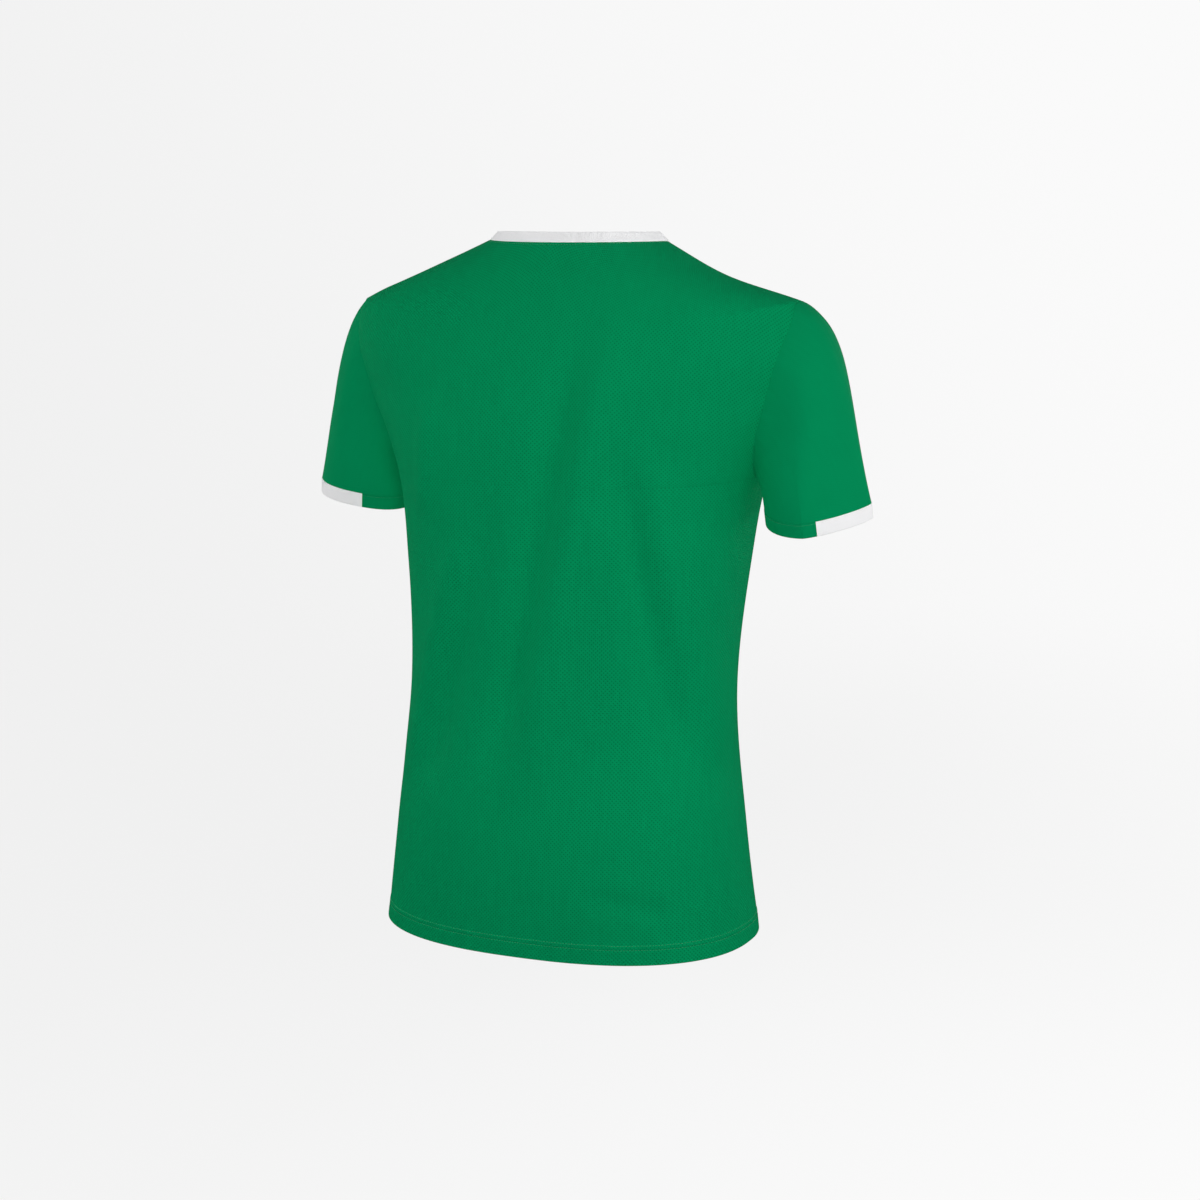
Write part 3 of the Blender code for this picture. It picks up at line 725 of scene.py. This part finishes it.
# The two body panels, with the turned hem and the seam allowances inside them.
rows, openings, armpitRow, tipRow = bodyRows()
panels = {
    "back": layPanel("back", "front", rows, openings, armpitRow, tipRow),
    "front": layPanel("front", "back", rows, openings, armpitRow, tipRow),
}
shareSeamNormals(panels["back"], panels["front"], armpitRow, tipRow)

# How wide and thick a seam allowance is. The rest is in thicknesses of cloth under its outer side:
# where an allowance starts, and where the turned layer of the hem starts and ends. That layer stops
# a little short of the fold, in radii of it, and of the hem's upper edge. An allowance stops short
# of the neck.
innerSeams = {
    "width": 0.0055, "thickness": 0.0011, "start": 1.05, "neckGap": 0.002,
    "hemLayer": (1.08, 1.95), "foldGap": 1.5, "hemGap": 0.0003,
}


def makePanel(side):
    panel, node = panels[side], side + "_panel"
    outer, inner = panelWall(panel)
    grid, normals = panel["grid"], panel["normals"]
    places = np.stack([(panel["fromRight"] - panel["fromLeft"]) / 2.0, panel["fromHem"]], axis=-1)
    sheets = [grid + normals * each[..., None] for each in (outer, inner)]
    cloth = wallMesh(side + "_cloth", *sheets, places)
    shadeSmoothly(cloth, *sheets, slice(armpitRow - 1, tipRow - 1))
    dress(cloth, knit["eyelet"], "eyelet_knit", node)

    height = panel["fromHem"].mean(axis=1)
    thickness = panelCloth["thickness"]
    lowest = innerSeams["foldGap"] * panelCloth["hemFold"]
    turned = (height > lowest) & (height < panelCloth["hemHeight"] - innerSeams["hemGap"])
    layers = [grid[turned] + normals[turned] * (outer[turned] - thickness * depth)[..., None]
              for depth in innerSeams["hemLayer"]]
    extras = [dress(wallMesh(side + "_hem_turn", *layers, places[turned]), knit["eyelet"], "eyelet_knit")]

    # The seam allowances lie flat on the inside, as overlocked edges.
    chosen = np.arange(armpitRow, tipRow + 1)
    if side == "back":
        belowNeck = panel["fromNeck"].max(axis=1) > innerSeams["neckGap"]
        chosen = np.flatnonzero((height > panelCloth["hemHeight"]) & belowNeck)
    start = thickness * innerSeams["start"]
    lines = []
    for hand, fromEdge in (("right", panel["fromRight"]), ("left", panel["fromLeft"])):
        wide = np.arange(grid.shape[1])[fromEdge.mean(axis=0) < innerSeams["width"]]
        part = np.ix_(chosen, wide)
        layers = [grid[part] + normals[part] * (outer[part] - depth)[..., None]
                  for depth in (start, start + innerSeams["thickness"])]
        name = f"{side}_seam_allowance_{hand}"
        extras.append(dress(wallMesh(name, *layers, places[part]), knit["plain"], "plain_knit"))
        edge = -1 if hand == "right" else 0
        across = unit(layers[1][:, edge] - layers[1][:, -1 - edge])
        lines.append((layers[1][:, edge], -normals[part][:, edge], across))
    for line in panelCloth["hemStitches"]:
        lines.append(lineAcross(panel, outer, "fromHem", line))
    lines.append(lineAcross(panel, outer, "fromNeck", panelCloth["neckStitches"]))
    extras.append(sewStitches(side + "_stitches", lines, thread["green"], "eyelet_knit"))


for side in panels:
    makePanel(side)

# The middle of each cuff's lower edge, how far its plane tips outwards and forwards, and its half
# width and depths. "Square" makes an end fuller than an ellipse (2) or, below that, more like a
# fold: the inner one is for the back alone, the outer one for both sides. Then come how full the
# sleeve stands at its top and runs in at its cuff, how it flares there on its outer side, how
# level it leaves the shoulder, and how far it spreads backwards from the armhole.
sleeveColumns = (
    "x", "y", "z", "tipOut", "tipForward", "wide", "back", "front", "innerSquare", "outerSquare",
    "full", "runIn", "flare", "level", "spread", "whiteFrom",
)
sleeveForm = {
    "left": (
        0.2473,  0.004, -0.2690, 8.4, 10.0, 0.0536, 0.040, 0.070, 2.60, 2.20,
        0.61, 0.91, 0.17, 0.816, 0.25,  80.0,
    ),
    "right": (
        0.2570, -0.008, -0.2694, 2.4, 14.7, 0.0537, 0.057, 0.060, 1.93, 1.32,
        0.78, 1.54, 0.13, 0.965, 0.45, 113.0,
    ),
    "rings": 62, "firstRing": 0.006, "lastRing": 0.985,    # shares of the way down, with four more below
    "closeRings": (0.008, 0.004, 0.0015, 0.0),
    "cuffRoll": 0.8,                       # the share of a seam's roll beside the cuff
    "lowerOut": 0.15, "lowerDown": 1.0,    # how the cloth leaves the armhole below
    "seamTurn": 0.45, "smoothing": 5,
    "rollRadius": 0.0012,                  # how tightly it turns over at the armhole's seam
    "rollSteps": (0.0, 0.15, 0.35, 0.55, 0.75, 1.0),
}
cuffForm = {
    "band": 0.0150,
    "relief": 0.0004, "thickness": 0.0014, "fold": 0.0007,
    "whiteTurn": 170.0, "stitches": 0.0018,    # below the band's upper edge
    "samples": 721, "columns": 84,
    "step": 0.0015, "closeStep": 0.0004, "closeFrom": 0.0016,    # rows, closer by the stitches
    "endRoll": 0.45, "endRollWidth": 1.5,                        # how its ends roll, next to a seam
    "threadEnd": 0.001,
}


def turnedAbout(axis, degrees):
    angle = math.radians(degrees)
    first, second = (axis + 1) % 3, (axis + 2) % 3
    matrix = np.eye(3)
    matrix[first, first] = matrix[second, second] = math.cos(angle)
    matrix[first, second], matrix[second, first] = -math.sin(angle), math.sin(angle)
    return matrix


def cuffPoints(value, hand, angles, heights, out):
    # Points round a cuff at heights over its lower edge, moved out of it by out.
    axes = turnedAbout(1, -value["tipOut"]) @ turnedAbout(0, -value["tipForward"])
    mirror = np.array([hand, 1.0, 1.0])
    outward, behind, up = [axes[:, each] * mirror for each in range(3)]
    middle = np.array([value["x"], value["y"], value["z"]]) * mirror
    across, back = np.cos(angles), np.sin(angles)
    power = np.where(back > 0.0, 2.0 / value["innerSquare"], 1.0)
    power = np.where(across < 0.0, 2.0 / value["outerSquare"], power)
    depth = np.where(back > 0.0, value["back"], value["front"])
    across, back = [np.sign(part) * np.abs(part) ** power for part in (across, back)]
    points = middle - across[None, :, None] * outward * (value["wide"] + out)[..., None]
    points = points + back[None, :, None] * behind * (depth + out)[..., None]
    return points + up * heights[:, None, None], up


def armholeRing(edge):
    # Where a sleeve begins: its points, the panels' normals there, and the way on.
    ring = []
    for label in ("grid", "normals"):
        ofBack, ofFront = [panels[side][label][armpitRow : tipRow + 1, edge] for side in ("back", "front")]
        bottom, top = (ofBack[:1] + ofFront[:1]) / 2.0, (ofBack[-1:] + ofFront[-1:]) / 2.0
        ring.append(np.vstack([bottom, ofBack[1:-1], top, ofFront[-2:0:-1]]))
    points, normals = ring
    along = unit(np.roll(points, -1, axis=0) - np.roll(points, 1, axis=0))
    onwards = unit(np.cross(unit(normals), along))
    onwards *= np.sign(((points.mean(axis=0) - points) * onwards).sum())
    return points, unit(normals), onwards


def smoothRound(values, reach):
    # A running mean round a closed ring.
    return sum(np.roll(values, shift, axis=0) for shift in range(-reach, reach + 1)) / (2 * reach + 1)


def leaving(value, hand, angles, onwards):
    # The way the cloth leaves the armhole, at each angle round it from the underarm.
    outward = np.array([hand, 0.0, 0.0])
    top = (0.5 - 0.5 * np.cos(angles))[:, None]
    lower = outward * sleeveForm["lowerOut"] - upward * sleeveForm["lowerDown"]
    upper = outward * value["level"] - upward * math.sqrt(1.0 - value["level"] ** 2)
    spread = np.sin(angles)[:, None] * backward * value["spread"]
    way = unit(lower * (1.0 - top) + upper * top + spread) + onwards * sleeveForm["seamTurn"]
    return unit(smoothRound(unit(way), sleeveForm["smoothing"]))


def sleeveGrid(side, hand):
    # A sleeve's points from the armhole down to the top of its cuff, before its folds.
    value = dict(zip(sleeveColumns, sleeveForm[side]))
    start, startNormals, onwards = armholeRing(-1 if hand > 0 else 0)
    angles = np.arange(len(start)) * 2.0 * math.pi / len(start)
    finish, up = cuffPoints(value, hand, angles, np.array([cuffForm["band"]]), np.zeros((1, len(angles))))
    finish = finish[0]
    way = leaving(value, hand, angles, onwards)
    # The cloth first turns over the seam, from the panels' own way on to the way it leaves.
    straight = (onwards * way).sum(axis=1, keepdims=True)
    turn, aside = np.arccos(np.clip(straight, -1.0, 1.0)), unit(way - onwards * straight)
    roll = []
    for share in sleeveForm["rollSteps"]:
        turned = np.sin(turn * share) * onwards + (1.0 - np.cos(turn * share)) * aside
        roll.append(start + sleeveForm["rollRadius"] * turned)
    start = roll[-1]
    length = np.linalg.norm(finish - start, axis=1, keepdims=True)
    firstWay = way * length * value["full"]
    outer = unit(finish - finish.mean(axis=0)) * (0.5 - 0.5 * np.cos(angles))[:, None]
    lastWay = (outer * value["flare"] - up) * length * value["runIn"]
    rings = np.linspace(sleeveForm["firstRing"], sleeveForm["lastRing"], sleeveForm["rings"])
    down = np.append(rings, 1.0 - np.array(sleeveForm["closeRings"]))[:, None, None]
    grid = cubic(down, start, firstWay, finish, lastWay)
    return np.concatenate([np.array(roll), grid]), angles, startNormals, up


def makeSleeve(side, hand):
    grid, angles, startNormals, up = sleeveGrid(side, hand)
    normals = surfaceNormals(grid, closed=True)
    steps = np.linalg.norm(np.roll(grid, -1, axis=1) - grid, axis=2)
    around = np.cumsum(steps, axis=1) - steps
    fromArmhole, fromCuff = distances(grid, axis=0)
    margin = smoothStep(np.minimum(fromArmhole, fromCuff) / panelCloth["seamMargin"])
    pressed = foldOffset(clothFolds[side], around, fromArmhole) * margin
    waves = unevenWave(around[:1], panelCloth["puckerPeriod"], puckerShift[side])
    away = smoothStep(np.minimum(angles, 2.0 * math.pi - angles) / 0.5 - 0.4)    # none at the underarm
    fade = beside(fromArmhole, panelCloth["puckerReach"]["sleeve"]) * away
    pressed += panelCloth["pucker"] * waves * fade
    grid = grid - normals * pressed[..., None]
    normals = surfaceNormals(grid, closed=True)
    normals[0] = startNormals
    normals[-1] = unit(normals[-1] - (normals[-1] @ up)[:, None] * up)

    outer = -seamRoll(fromArmhole) - seamRoll(fromCuff) * sleeveForm["cuffRoll"]
    inner = outer - panelCloth["thickness"]
    ends = np.concatenate([around, around[:, -1:] + steps[:, -1:]], axis=1)
    runs = np.concatenate([fromArmhole, fromArmhole[:, :1]], axis=1)
    name = "sleeve_" + side
    cloth = wallMesh(name + "_cloth", grid + normals * outer[..., None], grid + normals * inner[..., None],
                     np.stack([ends, -runs], axis=-1), closed=True)
    dress(cloth, knit["plain"], "plain_knit", name)


def makeCuff(side, hand, colour, first, last):
    value = dict(zip(sleeveColumns, sleeveForm[side]))
    form = cuffForm
    turns = np.linspace(math.radians(first), math.radians(last), form["samples"])
    lower = cuffPoints(value, hand, turns, np.array([form["band"] / 2.0]), np.zeros((1, len(turns))))[0][0]
    lengths = runAlong(lower)
    reach = lengths[-1]
    run = closeAtEdges(reach, form["columns"])
    angles = np.interp(run, lengths, turns)
    foldRise = form["fold"] * foldSteps
    low, high = form["band"] - form["stitches"] - form["closeFrom"], form["band"] - edgeSteps[::-1]
    below = spaced(foldRise[-1], low, form["step"])[1:-1]
    beyond = spaced(low, high[0], form["closeStep"])[:-1]
    heights = np.concatenate([foldRise, below, beyond, high])
    endRoll = form["endRoll"] * seamRoll(np.minimum(run, reach - run) * form["endRollWidth"])[None, :]
    fromTop = (form["band"] - heights)[:, None]
    outer = form["relief"] - endRoll - seamRoll(fromTop)
    outer = outer - panelCloth["softSink"] * stitchDip(fromTop - form["stitches"])
    middle = form["relief"] - form["fold"] - endRoll
    outer, inner = foldUnder(outer, outer - form["thickness"], heights[:, None], form["fold"], middle, 1.0)
    places = np.stack(np.broadcast_arrays(run[None, :], heights[:, None]), axis=-1)
    name = f"cuff_{colour}_{side}"
    band = wallMesh(name + "_band", cuffPoints(value, hand, angles, heights, outer)[0],
                    cuffPoints(value, hand, angles, heights, inner)[0], places)
    slotName = "white_cuff" if colour == "white" else "plain_knit"
    dress(band, knit["white" if colour == "white" else "plain"], slotName, name)

    row = np.argmin(np.abs(fromTop[:, 0] - form["stitches"]))
    row = slice(row, row + 1)
    line = cuffPoints(value, hand, angles, heights[row], outer[row] + panelCloth["stitchLift"])[0][0]
    circle = np.linspace(0.0, 2.0 * math.pi, 60)
    centre = cuffPoints(value, hand, circle, heights[row], np.zeros((1, 60)))[0][0].mean(axis=0)
    keep = (run > form["threadEnd"]) & (run < reach - form["threadEnd"])
    rows = [(line[keep], unit(line - centre)[keep], unit(np.gradient(line, axis=0))[keep])]
    stitches = sewStitches(name + "_stitches", rows, thread[colour], slotName)


for side, hand in (("left", 1.0), ("right", -1.0)):
    makeSleeve(side, hand)
    whiteFrom = sleeveForm[side][sleeveColumns.index("whiteFrom")]
    whiteTo = whiteFrom + cuffForm["whiteTurn"]
    makeCuff(side, hand, "white", whiteFrom, whiteTo)
    makeCuff(side, hand, "green", whiteTo, whiteFrom + 360.0)

neckband = {
    "rise": 0.0102, "lean": 0.0085, "thickness": 0.0022, "setIn": 0.00065,
    "sideDrop": (0.0010, 0.0024),    # how much lower it stands at the wearer's right and left
    "roll": 0.0012,
    "topSteps": (0.75, 0.5, 0.3, 0.15, 0.05, 0.003),    # down from the folded top, in its radii
    "columnStep": 0.00027,
    "ribsFrom": 0.0006, "ribsFull": 0.0015,    # where the ribs begin above the seam, and over what
    "Rib pitch": 0.0016,
    "Rib height": 0.00022,
}


def ribTree():
    # Raises ribs across the band, where its "ribbed" says and by its length "alongNeck".
    tree, given = newTree("ribs of a neckband", (
        ("Band", "Geometry"), ("Rib pitch", "Float"), ("Rib height", "Float"), ("Cloth", "Material")))
    named = [addNode(tree, "GeometryNodeInputNamedAttribute", {"Name": name}, data_type="FLOAT")
             for name in ("alongNeck", "ribbed")]
    ribs = addNode(tree, "ShaderNodeMath", named[0], given["Rib pitch"], operation="DIVIDE")
    turns = addNode(tree, "ShaderNodeMath", ribs, 2.0 * math.pi, operation="MULTIPLY")
    wave = addNode(tree, "ShaderNodeMath", turns, operation="COSINE")
    high = addNode(tree, "ShaderNodeMath", wave, given["Rib height"], operation="MULTIPLY")
    masked = addNode(tree, "ShaderNodeMath", high, named[1], operation="MULTIPLY")
    facing = addNode(tree, "GeometryNodeInputNormal")
    offset = addNode(tree, "ShaderNodeVectorMath", {"Vector": facing, "Scale": masked}, operation="SCALE")
    moved = addNode(tree, "GeometryNodeSetPosition", {"Geometry": given["Band"], "Offset": offset})
    real = addNode(tree, "GeometryNodeRealizeInstances", {"Geometry": moved})
    cloth = addNode(tree, "GeometryNodeSetMaterial", {"Geometry": real, "Material": given["Cloth"]})
    addNode(tree, "NodeGroupOutput", cloth)
    return tree


def makeNeckband():
    # A folded rib band that goes on from the neckline and leans in as it rises.
    form = neckband
    neck, normals = [np.vstack([panels["back"][label][-1], panels["front"][label][-1][-2:0:-1]])
                     for label in ("grid", "normals")]
    closedNeck = np.vstack([neck, neck[:1]])
    run = runAlong(closedNeck)
    count = round(run[-1] / form["columnStep"])
    at = np.arange(count) * run[-1] / count
    neck = pointsAt(at, run, closedNeck)
    normals = unit(pointsAt(at, run, np.vstack([normals, normals[:1]])))
    away = unit(neck * level)
    side = neck[:, :1] / np.abs(neck[:, 0]).max()
    drop = np.where(side < 0.0, *form["sideDrop"]) * side**4
    rise = upward * (form["rise"] - drop) - away * form["lean"]
    along = unit(np.roll(neck, -1, axis=0) - np.roll(neck, 1, axis=0))
    face = unit(np.cross(rise, along))
    face *= np.sign((face * away).sum(axis=1))[:, None]
    tall = math.hypot(form["rise"], form["lean"])
    radius = form["thickness"] / 2.0
    shares = np.concatenate([
        edgeSteps[:-1] / tall, np.linspace(edgeSteps[-1] / tall, 1.0 - radius / tall, 7),
        1.0 - radius / tall * np.array(form["topSteps"])])
    outer, inner = [], []
    for share in shares:
        normal = unit(normals * (1.0 - share) + face * share)
        middle = neck - normals * form["setIn"] + rise * share + (normals - normal) * form["setIn"]
        overFold = max(0.0, share * tall - (tall - radius))
        half = math.sqrt(max(radius**2 - overFold**2, 0.0))
        roll = form["roll"] - math.sqrt(form["roll"] ** 2 - max(0.0, form["roll"] - share * tall) ** 2)
        outer.append(middle + normal * (half - roll))
        inner.append(middle - normal * half)
    heights = shares * tall
    places = np.stack(np.broadcast_arrays(np.append(at, run[-1])[None, :], heights[:, None]), axis=-1)
    band = wallMesh("collar_rib", np.array(outer), np.array(inner), places, closed=True)
    mask = np.repeat(smoothStep((heights - form["ribsFrom"]) / form["ribsFull"]), count)
    for label, values in (("alongNeck", np.tile(at, 2 * len(shares))), ("ribbed", np.tile(mask, 2))):
        layer = band.data.attributes.new(label, "FLOAT", "POINT")
        layer.data.foreach_set("value", values.astype(np.float32))
    ribCount = round(run[-1] / form["Rib pitch"])
    evaluatedMesh(band, ribTree(), {
        "Rib pitch": run[-1] / ribCount, "Rib height": form["Rib height"] / 2.0, "Cloth": knit["rib"]})
    dress(band, knit["rib"], "white_rib", "collar")
    print(f"neckband: {run[-1]:.3f} m round, {ribCount} ribs")


makeNeckband()

# A pale floor at the height where a standing wearer's would be, and soft light from the right.
studio = {
    "floorZ": -1.45, "floorRadius": 16.0,
    "floorShade": "#424242", "floorGlow": 0.99,    # its glow is painted light for the camera alone, in place of lamps of its own as a white sweep has
    "fadeFrom": 2.2, "fadeTo": 7.0,                # where it fades into the sky, from its middle
    "skyLow": "#f0f0f0", "skyHigh": "#fafafa", "skyStrength": 0.12,
    "paler": (-0.80, -0.36, 0.48), "palerFrom": -0.35, "palerTo": 0.25,    # the way the sky gets paler
}


def makeStudio():
    data = bpy.data.meshes.new("floor")
    turns = np.linspace(0.0, 2.0 * math.pi, 97)[:-1]
    radius = studio["floorRadius"]
    rim = [(radius * math.cos(turn), radius * math.sin(turn), studio["floorZ"]) for turn in turns]
    data.from_pydata(rim, [], [list(range(len(rim)))])
    newObject("floor", data)
    paper = bpy.data.materials.new("matt backdrop paper")    # dark and shadow-soft, under a painted glow that the camera alone sees
    tree = emptyTree(paper)
    place = addNode(tree, "ShaderNodeTexCoord")
    far = addNode(tree, "ShaderNodeVectorMath", place.outputs["Object"], operation="LENGTH")
    fade = addNode(tree, "ShaderNodeMapRange", {"Value": far.outputs["Value"],
            "From Min": studio["fadeFrom"], "From Max": studio["fadeTo"]},
            interpolation_type="SMOOTHSTEP")
    flat = addNode(tree, "ShaderNodeBsdfDiffuse", {"Color": hexColour(studio["floorShade"])})
    apart = addNode(tree, "ShaderNodeSeparateXYZ", place.outputs["Object"])
    share = addNode(tree, "ShaderNodeMapRange", {"Value": apart.outputs["X"], "From Min": 1.0,
            "From Max": -1.0})
    paler = addNode(tree, "ShaderNodeMix", {0: share, 6: hexColour(studio["skyLow"]),
            7: hexColour(studio["skyHigh"])}, data_type="RGBA")
    # Painted light: the floor glows for camera rays alone, paler towards -x.
    glow = addNode(tree, "ShaderNodeEmission", {"Color": paler.outputs[2], "Strength": studio["floorGlow"]})
    path = addNode(tree, "ShaderNodeLightPath")
    seen = addNode(tree, "ShaderNodeMixShader", {0: path.outputs["Is Camera Ray"], 2: glow})
    lit = addNode(tree, "ShaderNodeAddShader", flat, seen)
    clear = addNode(tree, "ShaderNodeBsdfTransparent")
    mixed = addNode(tree, "ShaderNodeMixShader", fade, lit, clear)
    addNode(tree, "ShaderNodeOutputMaterial", {"Surface": mixed})
    data.materials.append(paper)

    world = bpy.data.worlds.new("studio")
    bpy.context.scene.world = world
    tree = emptyTree(world)
    place = addNode(tree, "ShaderNodeTexCoord")
    slope = addNode(tree, "ShaderNodeVectorMath", place.outputs["Generated"], studio["paler"],
            operation="DOT_PRODUCT")
    share = addNode(tree, "ShaderNodeMapRange", {"Value": slope.outputs["Value"],
            "From Min": studio["palerFrom"], "From Max": studio["palerTo"]},
            interpolation_type="SMOOTHSTEP")
    sky = addNode(tree, "ShaderNodeMix", {0: share, 6: hexColour(studio["skyLow"]),
            7: hexColour(studio["skyHigh"])}, data_type="RGBA")
    seen = addNode(tree, "ShaderNodeBackground", {"Color": sky.outputs[2]})
    light = addNode(tree, "ShaderNodeBackground", {"Color": hexColour("#ffffff"),
            "Strength": studio["skyStrength"]})
    path = addNode(tree, "ShaderNodeLightPath")
    mixed = addNode(tree, "ShaderNodeMixShader", path.outputs["Is Camera Ray"], light, seen)
    addNode(tree, "ShaderNodeOutputWorld", {"Surface": mixed})


lampAim = (0.0, 0.0, -0.3)
lights = {
    # name: place, size in metres, watts, whether it casts shadows, whether it glints. The fill
    # lamps stand for light that comes back from white walls all round, so they cast no shadow of
    # their own, and those at the sides don't glint on the cloth.
    "above":  ((-0.2,  0.6,  2.00), 1.6, 16.0, True, True),
    "right":  ((-1.5,  0.9, -0.20), 1.0, 10.6, False, True),
    "camera": ((-0.7,  1.6, -0.20), 1.0,  6.2, False, True),
    "behind": (( 0.6,  1.6, -0.20), 1.0, 10.8, False, False),
    "left":   (( 1.6,  0.0, -0.20), 1.0,  9.5, False, False),
    "side":   ((-1.6, -0.3, -0.10), 1.0,  8.0, False, False),
    "front right": ((-1.0, -1.8, 0.10), 1.0,  9.0, True, False),
    "front left":  (( 0.9, -1.8, 0.10), 1.0, 10.0, True, False),
}


def makeLights():
    for name, (place, size, watts, shadows, glints) in lights.items():
        data = bpy.data.lights.new(name, "AREA")
        data.shape, data.size, data.energy, data.use_shadow = "SQUARE", size, watts, shadows
        lamp = newObject(name, data)
        lamp.location = place
        aim = Vector(lampAim) - Vector(place)
        lamp.rotation_euler = aim.to_track_quat("-Z", "Y").to_euler()
        lamp.visible_camera = False
        lamp.visible_glossy = glints


cameraView = {
    "distance": 2.20, "turn": 25.0, "height": -0.0076,    # from behind, on the wearer's right
    "pan": 0.53, "pitch": 9.3, "lens": 64.5,
}


def makeCamera():
    view = cameraView
    turn, distance = math.radians(view["turn"]), view["distance"]
    data = bpy.data.cameras.new("camera")
    data.lens, data.sensor_width = view["lens"], 36.0
    camera = newObject("camera", data)
    camera.location = (-math.sin(turn) * distance, math.cos(turn) * distance, view["height"])
    camera.rotation_euler = (
        math.radians(90.0 - view["pitch"]), 0.0, math.radians(180.0 + view["turn"] - view["pan"]))
    bpy.context.scene.camera = camera


makeStudio()
makeLights()
makeCamera()
bpy.context.scene.view_settings.view_transform = "Standard"    # keeps the dye's green as it is
print("studio, lights and camera set")
